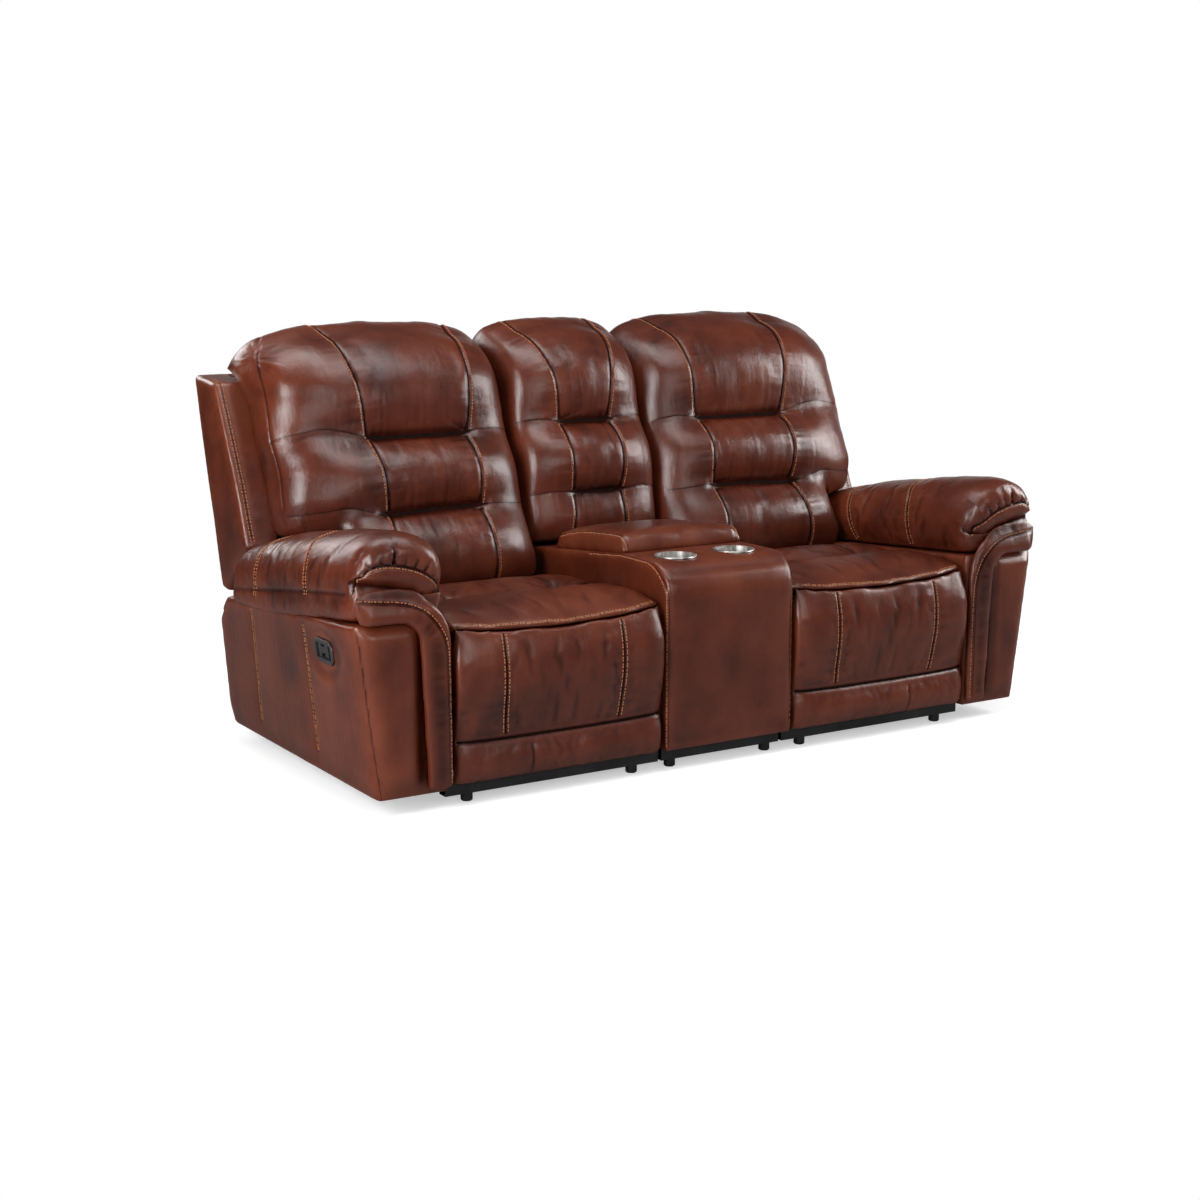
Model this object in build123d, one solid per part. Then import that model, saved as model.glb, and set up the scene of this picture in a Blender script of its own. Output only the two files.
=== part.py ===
from build123d import *
import os
from math import cos, hypot, radians, sin, tan

# Reclining sofa: two seats beside a centre console. Millimetres, +X right, +Y back, +Z up.
# The origin is on the floor, under the middle of the sofa. The right half is built and mirrored.

# Overall envelope
WIDTH = 1990.0
DEPTH = 1052.0
HEIGHT = 1054.0
FRONT_Y = -DEPTH / 2
REAR_Y = DEPTH / 2

# Console
CONSOLE_HALF = 185.0
CONSOLE_FRONT_Y = FRONT_Y + 16.0
CONSOLE_REAR_Y = 255.0
CONSOLE_BOTTOM_Z = 50.0
CONSOLE_TOP_Z = 503.0
CONSOLE_KNEE_Y = FRONT_Y + 223.0
CONSOLE_SLOPE = 5.5
WATERFALL_R = 80.0
COVER_WALL = 10.0
PANEL_T = 15.0
BIN_HALF = 118.0
BIN_FRONT_Y = CONSOLE_KNEE_Y + 41.0
BIN_REAR_Y = 10.0
BIN_FLOOR_Z = 230.0

# Cup holders
CUP_X = 86.0
CUP_Y = FRONT_Y + 134.0
CUP_R = 45.0
CUP_RIM_R = 52.0
CUP_RIM_T = 2.5
CUP_WALL = 1.5
CUP_DEPTH = 74.0
CUP_PLAY = 0.4

# Console lid
LID_HALF = 176.0
LID_REAR_Y = 26.0
LID_LENGTH = LID_REAR_Y - CONSOLE_KNEE_Y + 4.0
LID_BOARD_T = 12.0
LID_PAD_T = 40.0
HINGE_R = 4.5
HINGE_PIN_R = 2.0
HINGE_LIFT = 6.0
LEAF_T = 2.0
KNUCKLE_LENGTH = 48.0

# Seat bay between the console and an arm
SEAT_BAY = 575.0
SEAT_SIDE_GAP = 9.0
ARM_INNER_X = CONSOLE_HALF + SEAT_BAY
SEAT_MID = CONSOLE_HALF + SEAT_BAY / 2
SEAT_HALF = SEAT_BAY / 2 - SEAT_SIDE_GAP

# Arm
ARM_FOOT_X = WIDTH / 2 - 65.0
ARM_FLARE = 8.0
ARM_BOTTOM_Z = 38.0
ARM_FRONT_Y = FRONT_Y + 30.0
ARM_REAR_Y = 359.0
ARM_REAR_LEAN = 5.8
ARM_TOP_Z = 442.0
ARM_TOP_SLOPE = 4.0
ARM_BEVEL_Y = 262.0
ARM_WALL = 14.0
ARM_EDGE_R = 16.0
FACING_WIDTH = 60.0
FACING_SHOULDER = 76.0
FACING_T = 24.0
FACING_TOP_Z = 505.0
FACING_BAND = 66.0
FACING_CORNER_R = 118.0
FACING_EDGE_R = 8.0
PILLOW_HALF = 119.0
PILLOW_HEIGHT = 198.0
PILLOW_FRONT_Y = FRONT_Y + 9.0
PILLOW_REAR_Y = 250.0

# Release handle in the arm's outer side
HANDLE_Y = FRONT_Y + 218.0
HANDLE_Z = 352.0
BEZEL_LENGTH = 100.0
BEZEL_HEIGHT = 57.0
BEZEL_T = 4.0
BEZEL_CORNER = 16.0
POCKET_LENGTH = 76.0
POCKET_HEIGHT = 36.0
POCKET_DEPTH = 22.0
POCKET_WALL = 3.0
PULL_T = 5.0
PULL_PIN_R = 2.5
PULL_STEM = 16.0

# Base rails, glide tracks and feet
FOOT_R = 14.0
FOOT_H = 20.0
FOOT_X = (142.0, 252.0, 698.0)
RAIL_H = 36.0
RAIL_DEPTH = 30.0
RAIL_FRONT_Y = FRONT_Y + 56.0
RAIL_REAR_Y = 285.0
TRACK_TOP_Z = 110.0
TRACK_WIDTH = 20.0
TRACK_T = 3.0
TRACK_LIP = 14.0
GLIDE_PLAY = 0.2
GLIDE_LENGTH = 100.0
GLIDE_H = 28.0
GLIDE_REARS = (-90.0, 230.0)

# Steel linkage layers, counted inward from the mechanism plate
PLATE_INSET = 25.0
STEEL_T = 4.0
LAYER_PITCH = 7.0
LINK_HALF = 10.5
PIN_R = 5.0
PIN_PLAY = 0.05
OPEN_PIVOT_PLAY = 0.3
COLLAR_R = 7.5
COLLAR_PLAY = 0.3
RIVET_HEAD_T = 1.5
TUBE_R = 11.0
TUBE_WALL = 2.5
PLATE_MARGIN = 15.0
PLATE_WAIST_Z = 170.0

# Footrest pantograph, as distances forward and up
FOLD_FORWARD = -FRONT_Y - 126.0
FOLD_Z = 330.0
FRONT_LINK = 190.0
TAIL_LENGTH = 70.0
STOWED_ANGLE = -120.0
UPPER_FORWARD = 145.0
UPPER_RISE = 124.0

# Seat
RAIL_T = 18.0
SEAT_RAIL_BOTTOM_Z = 250.0
SEAT_RAIL_TOP_Z = 370.0
SEAT_FRONT_RAIL_Y = FRONT_Y + 88.0
SEAT_FRONT_RAIL_H = 24.0
SEAT_REAR_RAIL_Y = 240.0
SEAT_REAR_RAIL_H = 60.0
STRAP_T = 2.0
STRAP_WIDTH = 45.0
STRAP_COUNT = 5
SEAT_LIP_FORWARD = -FRONT_Y - 6.0
SEAT_LIP_Z = 400.0
SEAT_BOW = 26.0
SEAT_REAR_FORWARD = -8.0
SEAT_TONGUE = 62.0
SEAT_TONGUE_T = 12.0
SEAT_CROWN = 44.0
TUFT_FORWARD = SEAT_LIP_FORWARD - 280.0
FRONT_CROWN_SETBACK = 120.0
TUFT_DEPTH = 14.0

# Footrest
BOARD_T = 15.0
BOARD_REAR_FORWARD = -FRONT_Y - 64.0
BOARD_BOTTOM_Z = 75.0
BOARD_TOP_Z = 372.0
PAD_BOTTOM_Z = 55.0
PAD_TOP_Z = SEAT_LIP_Z - 10.0
PAD_TOP_SLANT = 18.0
PAD_CREASE_Z = 146.0
PAD_CREASE_DEPTH = 17.0
SEAM_GAP = 6.0

# Reclining back
RECLINE_Y = 300.0
RECLINE_Z = 215.0
BACK_INNER_X = 211.0
BACK_OUTER_X = WIDTH / 2 - 103.0
BACK_FOOT_Z = 150.0
BACK_FOOT_Y = 315.0
SHELL_TOP_Z = HEIGHT - 139.0
SHELL_T = 12.0
WING_OUTER_X = WIDTH / 2 - 45.0
WING_INNER_X = WIDTH / 2 - 133.0
WING_BOTTOM_Z = 386.0
WING_TOP_DEPTH = 138.0
WING_LOW_Y = 214.0
WING_LOW_Z = 560.0
WING_FOOT_DEPTH = 36.0
WING_EDGE_R = 10.0
POST_WIDTH = 40.0
POST_DEPTH = 42.0
FRAME_TOP_Z = SHELL_TOP_Z - 15.0
FRAME_BOTTOM_Z = 190.0
FRAME_RAIL_H = 50.0
CUSHION_BOTTOM_Z = 388.0
CUSHION_FOOT_Y = 20.0
LOW_CREASE = (90.0, 588.0)
HIGH_CREASE = (172.0, 765.0)
HEAD_FRONT = (318.0, HEIGHT - 30.0)
HEAD_TOP_Y = REAR_Y - 121.0
CHANNEL_BULGES = (58.0, 60.0, 80.0)
ARM_CLEARANCE = 12.0

# Centre back
CENTER_HALF = 202.0
CENTER_LEG_HALF = 170.0
CENTER_BEND_Z = 250.0
CENTER_FOOT_Y = 104.0
CENTER_LOW_CREASE = (108.0, 598.0)
CENTER_HIGH_CREASE = (181.0, 776.0)
CENTER_BULGES = (28.0, 58.0, 78.0)

SOFT_GAP = 0.3
FIT_GAP = 0.5

SHELL_LEAN = (REAR_Y - BACK_FOOT_Y) / (SHELL_TOP_Z - BACK_FOOT_Z)
RAIL_TOP_Z = FOOT_H + RAIL_H
FLARE = tan(radians(ARM_FLARE))
PLATE_X = ARM_INNER_X - PLATE_INSET
SEAT_FOAM_Z = SEAT_RAIL_TOP_Z + STRAP_T + SOFT_GAP
PAD_REAR_FORWARD = BOARD_REAR_FORWARD + BOARD_T + SOFT_GAP


def box(x0, x1, y0, y1, z0, z1):
    """Block between two corners."""
    return Solid.make_box(x1 - x0, y1 - y0, z1 - z0, Plane((x0, y0, z0)))


def ring(place, path):
    """Closed wire through path, whose steps are an end point, or a middle and an end point of an arc."""
    start = path[0]
    here = start
    edges = []
    for step in path[1:]:
        if isinstance(step[0], tuple):
            middle, end = step
            edges.append(ThreePointArc(place(here), place(middle), place(end)))
        else:
            end = step
            edges.append(Line(place(here), place(end)))
        here = end
    if hypot(here[0] - start[0], here[1] - start[1]) > 1e-6:
        edges.append(Line(place(here), place(start)))
    return Wire(edges)


def at_x(x):
    """Maps (y, z) to the plane at one x."""
    return lambda point: (x, point[0], point[1])


def at_y(y):
    """Maps (x, z) to the plane at one y."""
    return lambda point: (point[0], y, point[1])


def prism_x(x0, x1, path):
    """Solid with a side outline of (y, z) steps, between two x planes."""
    return Solid.extrude(Face(ring(at_x(x0), path)), Vector(x1 - x0, 0, 0))


def prism_y(y0, y1, path):
    """Solid with a front outline of (x, z) steps, between two y planes."""
    return Solid.extrude(Face(ring(at_y(y0), path)), Vector(0, y1 - y0, 0))


def loft_x(sections):
    """Soft solid through (x, outline) sections."""
    return Solid.make_loft([ring(at_x(x), path) for x, path in sections], True)


def cylinder_x(x0, x1, at, radius):
    """Round bar along X at a (y, z) point."""
    return Solid.make_cylinder(radius, x1 - x0, Plane((x0, at[0], at[1]), z_dir=(1, 0, 0)))


def cylinder_z(x, y, z0, z1, radius):
    """Round bar along Z."""
    return Solid.make_cylinder(radius, z1 - z0, Plane((x, y, z0)))


def forward(distance, z):
    """Side-view point, from a distance in front of the origin."""
    return (-distance, z)


def back_line(z, inset=0.0):
    """Y of the leaning outer back at a height, moved forward by an inset."""
    return BACK_FOOT_Y + SHELL_LEAN * (z - BACK_FOOT_Z) - inset


def console_top(y):
    """Height of the console's sloping top."""
    return CONSOLE_TOP_Z - tan(radians(CONSOLE_SLOPE)) * max(0.0, y - CONSOLE_KNEE_Y)


def arm_top(y):
    """Height of the arm under its pillow."""
    return ARM_TOP_Z - tan(radians(ARM_TOP_SLOPE)) * (y - ARM_FRONT_Y)


def arm_side(z):
    """X of the arm's flared outer side at a height."""
    return ARM_FOOT_X + FLARE * (z - ARM_BOTTOM_Z)


def arm_rear(z):
    """Y of the arm's rear face at a height."""
    return ARM_REAR_Y - tan(radians(ARM_REAR_LEAN)) * (z - ARM_BOTTOM_Z)


def across_seat(shape):
    """A piece and its twin on the other side of the seat."""
    return [shape, shape.mirror(Plane.YZ.offset(SEAT_MID))]


# Arm

def arm_block(inset, bottom):
    """Flared arm body, shrunk by an inset."""
    top = ARM_TOP_Z + 2 * ARM_WALL

    def corners(z):
        outer = arm_side(z) - inset
        rear = arm_rear(z) - inset
        inner = ARM_INNER_X + inset
        front = ARM_FRONT_Y + inset
        points = [(inner, front), (outer, front), (outer, rear), (inner, rear)]
        return Wire.make_polygon([(x, y, z) for x, y in points], close=True)

    block = Solid.make_loft([corners(bottom), corners(top)], True)
    bevel_z = arm_top(ARM_BEVEL_Y) - inset
    bevel_drop = ARM_REAR_Y - ARM_BEVEL_Y
    lid = [
        (FRONT_Y, arm_top(FRONT_Y) - inset),
        (ARM_BEVEL_Y - inset, bevel_z),
        (ARM_REAR_Y, bevel_z - bevel_drop),
        (REAR_Y, bevel_z - bevel_drop),
        (REAR_Y, HEIGHT),
        (FRONT_Y, HEIGHT),
    ]
    return (block - prism_x(SEAT_MID, WIDTH, lid)).solid()


def handle_plane():
    """Plane on the arm's outer side: local x to the rear, local y up, local z outward."""
    lean = radians(ARM_FLARE)
    origin = (arm_side(HANDLE_Z), HANDLE_Y, HANDLE_Z)
    return Plane(origin, x_dir=(0, 1, 0), z_dir=(cos(lean), 0, -sin(lean)))


def arm_cover():
    """Upholstered arm, open underneath, with a window for the release handle."""
    outer = arm_block(0.0, ARM_BOTTOM_Z)
    outside_edges = outer.edges().filter_by(lambda e: abs(e.tangent_at(0.5).Z) > 0.95)
    outer = fillet(outside_edges.sort_by(Axis.X)[-2:], ARM_EDGE_R)
    window = Box(
        POCKET_LENGTH + 2 * POCKET_WALL + 2 * FIT_GAP,
        POCKET_HEIGHT + 2 * POCKET_WALL + 2 * FIT_GAP,
        4 * ARM_WALL,
    )
    return [(outer - arm_block(ARM_WALL, ARM_BOTTOM_Z - 1.0) - handle_plane() * window).solid()]


def arm_frame():
    """Plywood side panel with front, rear and top boards, inside the arm cover."""
    room = arm_block(ARM_WALL, ARM_BOTTOM_Z + ARM_WALL)
    inner = ARM_INNER_X + ARM_WALL
    front = ARM_FRONT_Y + ARM_WALL
    deep = ARM_FOOT_X - ARM_WALL - inner
    panel = room & box(inner, inner + RAIL_T, front, REAR_Y, 0, HEIGHT)
    front_board = room & box(inner, inner + deep * 0.8, front, front + RAIL_T, 0, HEIGHT)
    rear_board = room & box(inner, inner + deep * 0.8, PILLOW_REAR_Y, PILLOW_REAR_Y + RAIL_T, 0, HEIGHT)
    ground = box(inner, inner + deep * 0.8, front, PILLOW_REAR_Y, 0, ARM_BOTTOM_Z + ARM_WALL + RAIL_T)
    return [(panel + front_board + rear_board + (room & ground)).solid()]


def arm_facing():
    """Padded band across the arm's top front and down its inner edge."""
    x0 = ARM_INNER_X
    x1 = x0 + FACING_SHOULDER
    low = ARM_BOTTOM_Z + ARM_WALL
    under = FACING_TOP_Z - FACING_BAND
    outer_r = min(FACING_CORNER_R, arm_side(FACING_TOP_Z) - x0 - FACING_BAND)
    inner_r = outer_r - FACING_BAND
    turn = 1 - cos(radians(45))
    path = [
        (x0, low),
        (x0, FACING_TOP_Z - outer_r),
        ((x0 + outer_r * turn, FACING_TOP_Z - outer_r * turn), (x0 + outer_r, FACING_TOP_Z)),
        (arm_side(FACING_TOP_Z), FACING_TOP_Z),
        (arm_side(under), under),
        (x1 + inner_r, under),
        ((x1 + inner_r * turn, under - inner_r * turn), (x1, under - inner_r)),
        (x0 + FACING_WIDTH, low),
    ]
    band = prism_y(ARM_FRONT_Y - FACING_T, ARM_FRONT_Y, path)
    return [fillet(band.faces().sort_by(Axis.Y)[0].edges(), FACING_EDGE_R).solid()]


def pillow_ring(y, half, height, lift=0.0):
    """Rounded cross-section of the arm pillow at one y."""
    middle = WIDTH / 2 - PILLOW_HALF
    z0 = arm_top(y) + lift
    foot = 0.85 * half
    shoulder = 0.72 * half
    path = [
        (middle - foot, z0),
        (middle + foot, z0),
        ((middle + half, z0 + 0.45 * height), (middle + shoulder, z0 + 0.86 * height)),
        ((middle, z0 + height), (middle - shoulder, z0 + 0.86 * height)),
        ((middle - half, z0 + 0.45 * height), (middle - foot, z0)),
    ]
    return ring(at_y(y), path)


def arm_pillow():
    """Crowned pillow on the arm, lower towards the back, rounded at both ends."""
    length = PILLOW_REAR_Y - PILLOW_FRONT_Y
    shares = [
        (0.0, 0.66, 0.44, 0.36),
        (0.025, 0.90, 0.90, 0.04),
        (0.08, 0.99, 1.0, 0.0),
        (0.35, 1.0, 0.96, 0.0),
        (0.74, 0.98, 0.80, 0.0),
        (0.94, 0.94, 0.66, 0.0),
        (1.0, 0.70, 0.40, 0.02),
    ]
    rings = [
        pillow_ring(PILLOW_FRONT_Y + t * length, w * PILLOW_HALF, h * PILLOW_HEIGHT, up * PILLOW_HEIGHT)
        for t, w, h, up in shares
    ]
    pillow = Solid.make_loft(rings, True)
    band_top = FACING_TOP_Z + SOFT_GAP
    behind_band = box(SEAT_MID, WIDTH, 2 * FRONT_Y, ARM_FRONT_Y + SOFT_GAP, 0, band_top)
    return [(pillow - behind_band).solid()]


# Release handle

def hexagon(length, height, corner):
    """Rounded six-sided outline, longer than it is high."""
    x = length / 2
    y = height / 2
    points = [
        (-x, y - corner), (-x + corner, y), (x - corner, y),
        (x, y - corner), (x, corner - y), (x - corner, -y), (corner - x, -y), (-x, corner - y),
    ]
    face = make_face(Polyline(*points, close=True))
    return fillet(face.vertices(), corner / 2)


def pull_axis():
    """Local place of the pull's pin: towards the rear of the pocket, below the rim."""
    return (POCKET_LENGTH / 2 - 2.5 * PULL_PIN_R, -2 * PULL_PIN_R)


def pull_pin(radius, length):
    """Upright pin of the pull, in the handle's own plane."""
    u, w = pull_axis()
    return Pos(u, 0, w) * Rot(X=90) * Cylinder(radius, length)


def release_bezel():
    """Moulded rim and finger cup, with holes for the pull's pin."""
    rim = extrude(hexagon(BEZEL_LENGTH, BEZEL_HEIGHT, BEZEL_CORNER), BEZEL_T)
    rim = chamfer(rim.faces().sort_by(Axis.Z)[-1].edges(), BEZEL_T / 3)
    depth = POCKET_DEPTH + POCKET_WALL
    cup = Pos(0, 0, -depth / 2) * Box(
        POCKET_LENGTH + 2 * POCKET_WALL, POCKET_HEIGHT + 2 * POCKET_WALL, depth
    )
    pocket = Pos(0, 0, (BEZEL_T - POCKET_DEPTH) / 2) * Box(
        POCKET_LENGTH, POCKET_HEIGHT, POCKET_DEPTH + BEZEL_T
    )
    holes = pull_pin(PULL_PIN_R + PIN_PLAY, POCKET_HEIGHT + 2 * POCKET_WALL - 2 * FIT_GAP)
    return [(handle_plane() * (rim + cup - pocket - holes)).solid()]


def release_pull():
    """T-shaped paddle on its pin, with room for a finger in front of it."""
    u, w = pull_axis()
    grip_length = POCKET_LENGTH * 0.24
    stem_end = u - POCKET_LENGTH * 0.36
    stem = Pos((stem_end + u) / 2, 0, w) * Box(u - stem_end, PULL_STEM, PULL_T)
    grip = Pos(stem_end - grip_length / 2 + 1, 0, w) * Box(
        grip_length, POCKET_HEIGHT - 8 * FIT_GAP, PULL_T
    )
    grip = fillet(grip.edges().filter_by(Axis.Z), PULL_T / 2)
    barrel = pull_pin(2 * PULL_PIN_R, POCKET_HEIGHT - 2 * FIT_GAP)
    pin = pull_pin(PULL_PIN_R, POCKET_HEIGHT + 2 * POCKET_WALL - 4 * FIT_GAP)
    return [(handle_plane() * (stem + grip + barrel + pin)).solid()]


# Base

def track(inner):
    """Rolled glide track along the bay, with a shelf and a guiding lip against the bay's wall."""
    wall = ARM_INNER_X
    near = wall - TRACK_WIDTH
    path = [
        (wall, RAIL_TOP_Z),
        (wall, TRACK_TOP_Z + TRACK_LIP),
        (wall - TRACK_T, TRACK_TOP_Z + TRACK_LIP),
        (wall - TRACK_T, TRACK_TOP_Z),
        (near, TRACK_TOP_Z),
        (near, TRACK_TOP_Z - TRACK_T),
        (wall - TRACK_T, TRACK_TOP_Z - TRACK_T),
        (wall - TRACK_T, RAIL_TOP_Z + TRACK_T),
        (near, RAIL_TOP_Z + TRACK_T),
        (near, RAIL_TOP_Z),
    ]
    bar = prism_y(RAIL_FRONT_Y, RAIL_REAR_Y + RAIL_DEPTH, path)
    return bar.mirror(Plane.YZ.offset(SEAT_MID)) if inner else bar


def cross_rail(x0, x1, y):
    """Square steel tube across the base."""
    wall = TRACK_T
    outside = box(x0, x1, y, y + RAIL_DEPTH, FOOT_H, RAIL_TOP_Z)
    hollow = box(x0, x1, y + wall, y + RAIL_DEPTH - wall, FOOT_H + wall, RAIL_TOP_Z - wall)
    return (outside - hollow).solid()


def base_frame():
    """Front and rear cross rails under one seat, with a glide track along each side."""
    rails = [cross_rail(CONSOLE_HALF, ARM_INNER_X, y) for y in (RAIL_FRONT_Y, RAIL_REAR_Y)]
    return rails + [track(False), track(True)]


def feet():
    """Short round feet under the cross rails."""
    out = []
    for y in (RAIL_FRONT_Y, RAIL_REAR_Y):
        for x in FOOT_X:
            for side in (-1, 1):
                foot = cylinder_z(side * x, y + RAIL_DEPTH / 2, 0, FOOT_H, FOOT_R)
                out.append(chamfer(foot.edges().sort_by(Axis.Z)[0], FOOT_R / 5).solid())
    return out


# Linkage

def layer_x(layer):
    """X of a layer's inner face, counted inward from the mechanism plate."""
    return PLATE_X - STEEL_T - layer * LAYER_PITCH


def link_end(start, length):
    """End of a folding link at rest, from its pivot."""
    angle = radians(STOWED_ANGLE)
    return (start[0] - length * cos(angle), start[1] + length * sin(angle))


def moved(point, share=1.0):
    """Point shifted along the upper link's constant direction."""
    return (point[0] - share * UPPER_FORWARD, point[1] + share * UPPER_RISE)


FOLD_PIVOT = forward(FOLD_FORWARD, FOLD_Z)
CROSS_PIVOT = link_end(FOLD_PIVOT, FRONT_LINK)
LOWER_PIVOT = link_end(FOLD_PIVOT, FRONT_LINK + TAIL_LENGTH)
TAIL_SHARE = TAIL_LENGTH / hypot(UPPER_FORWARD, UPPER_RISE)
REAR_PIVOT = moved(FOLD_PIVOT, -TAIL_SHARE)
REAR_END = moved(CROSS_PIVOT, -TAIL_SHARE)
REST_PIVOT = moved(CROSS_PIVOT)
REST_LOWER_PIVOT = moved(LOWER_PIVOT)
RECLINE_PIVOT = (RECLINE_Y, RECLINE_Z)


def bar(layer, start, end):
    """Flat link with round ends in one layer."""
    run = (0, end[0] - start[0], end[1] - start[1])
    plane = Plane((layer_x(layer), start[0], start[1]), x_dir=run, z_dir=(1, 0, 0))
    length = hypot(run[1], run[2])
    slot = Pos(length / 2, 0) * SlotCenterToCenter(length, 2 * LINK_HALF)
    return extrude(plane * slot, STEEL_T)


def hole(layer, at, play):
    """Clearance for a pin through one layer."""
    return cylinder_x(layer_x(layer) - 1, layer_x(layer) + STEEL_T + 1, at, PIN_R + play)


def rivet(layer, at, headed):
    """Pin and spacing collar from one layer into the next one inward."""
    start = layer_x(layer)
    far = layer_x(layer + 1)
    shank_end = far - COLLAR_PLAY - RIVET_HEAD_T if headed else far + COLLAR_PLAY
    shape = cylinder_x(shank_end, start + STEEL_T / 2, at, PIN_R)
    shape = shape + cylinder_x(far + STEEL_T + COLLAR_PLAY, start + STEEL_T / 2, at, COLLAR_R)
    if headed:
        shape = shape + cylinder_x(shank_end, far - COLLAR_PLAY, at, COLLAR_R)
    return shape


def plate_pin(at):
    """Pin and collar from the first layer out through the mechanism plate."""
    start = layer_x(1) + STEEL_T / 2
    shank = cylinder_x(start, PLATE_X - COLLAR_PLAY, at, PIN_R)
    return shank + cylinder_x(start, layer_x(0) - COLLAR_PLAY, at, COLLAR_R)


def front_links():
    """Driving links, joined across the seat by a torque tube."""
    link = bar(1, FOLD_PIVOT, LOWER_PIVOT) + plate_pin(FOLD_PIVOT)
    link = (link + rivet(1, CROSS_PIVOT, True) + rivet(1, LOWER_PIVOT, True)).solid()
    end = layer_x(1)
    start = 2 * SEAT_MID - end
    tube = cylinder_x(start, end, FOLD_PIVOT, TUBE_R)
    tube = tube - cylinder_x(start, end, FOLD_PIVOT, TUBE_R - TUBE_WALL)
    return across_seat(link) + [tube.solid()]


def rear_links():
    """Links behind the driving links and parallel to them."""
    link = bar(1, REAR_PIVOT, REAR_END) + plate_pin(REAR_PIVOT) + rivet(1, REAR_END, False)
    return across_seat(link.solid())


def upper_links():
    """Links that carry the footrest and keep their direction."""
    link = bar(2, REAR_END, REST_PIVOT) - hole(2, REAR_END, OPEN_PIVOT_PLAY) - hole(2, CROSS_PIVOT, PIN_PLAY)
    return across_seat((link + rivet(2, REST_PIVOT, True)).solid())


def lower_links():
    """Links that turn the footrest, parallel to the upper links."""
    link = bar(2, LOWER_PIVOT, REST_LOWER_PIVOT) - hole(2, LOWER_PIVOT, PIN_PLAY)
    return across_seat((link + rivet(2, REST_LOWER_PIVOT, False)).solid())


def mechanism_plates():
    """Pressed side plates of the seat, with tabs down to the glides and a boss for the back's hinge."""
    edge = PLATE_MARGIN
    top = FOLD_Z + edge
    tab = TRACK_TOP_Z + 2 * TRACK_T / 3
    waist = PLATE_WAIST_Z
    nose = -FOLD_FORWARD - 1.6 * edge
    rear = RECLINE_Y + edge
    front_tab, rear_tab = GLIDE_REARS
    outline = [
        (nose, top), (nose, FOLD_Z - 1.5 * edge),
        (front_tab - 2.2 * GLIDE_LENGTH, FOLD_Z - 6.3 * edge),
        (front_tab - GLIDE_LENGTH, waist + edge), (front_tab - GLIDE_LENGTH, tab),
        (front_tab, tab), (front_tab, waist),
        (rear_tab - GLIDE_LENGTH, waist), (rear_tab - GLIDE_LENGTH, tab),
        (rear_tab, tab), (rear_tab, RECLINE_Z - 1.7 * edge),
        (RECLINE_Y, RECLINE_Z - 1.7 * edge), (rear, RECLINE_Z - 0.7 * edge),
        (rear, RECLINE_Z + 1.7 * edge), (rear - 2.1 * edge, RECLINE_Z + 3.1 * edge),
        (rear_tab - 1.3 * GLIDE_LENGTH, SEAT_RAIL_BOTTOM_Z + edge),
        (front_tab - 0.6 * GLIDE_LENGTH, SEAT_RAIL_BOTTOM_Z + 1.7 * edge),
        (front_tab - 2.1 * GLIDE_LENGTH, top),
    ]
    plate = prism_x(layer_x(0), PLATE_X, outline)
    plate = fillet(plate.edges().filter_by(Axis.X), edge / 3)
    for at in (FOLD_PIVOT, REAR_PIVOT, RECLINE_PIVOT):
        plate = plate - hole(0, at, PIN_PLAY)
    return across_seat(plate.solid())


def glide_blocks():
    """Plastic blocks on the plates' tabs, running on the tracks."""
    z0 = TRACK_TOP_Z + GLIDE_PLAY
    out = []
    for rear in GLIDE_REARS:
        x1 = ARM_INNER_X - TRACK_T - FIT_GAP
        block = box(PLATE_X, x1, rear - GLIDE_LENGTH, rear, z0, z0 + GLIDE_H)
        block = chamfer(block.edges().filter_by(Axis.X), GLIDE_H / 7)
        out += across_seat(block.solid())
    return out


# Seat

def seat_frame():
    """Timber rails of the seat: one along each plate, and a front and a rear rail between them."""
    y0 = SEAT_FRONT_RAIL_Y
    y1 = SEAT_REAR_RAIL_Y
    top = SEAT_RAIL_TOP_Z
    side = box(PLATE_X, PLATE_X + RAIL_T, y0, y1, SEAT_RAIL_BOTTOM_Z, top)
    x0 = 2 * SEAT_MID - PLATE_X
    front = box(x0, PLATE_X, y0, y0 + RAIL_T, top - SEAT_FRONT_RAIL_H, top)
    rear = box(x0, PLATE_X, y1 - RAIL_T, y1, top - SEAT_REAR_RAIL_H, top)
    return across_seat(side) + [front, rear]


def seat_webbing():
    """Elastic straps from the front rail to the rear rail."""
    out = []
    pitch = 2 * SEAT_HALF / (STRAP_COUNT + 1)
    for k in range(STRAP_COUNT):
        x = SEAT_MID - SEAT_HALF + pitch * (k + 1) - STRAP_WIDTH / 2
        z = SEAT_RAIL_TOP_Z
        out.append(box(x, x + STRAP_WIDTH, SEAT_FRONT_RAIL_Y, SEAT_REAR_RAIL_Y, z, z + STRAP_T))
    return out


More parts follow.
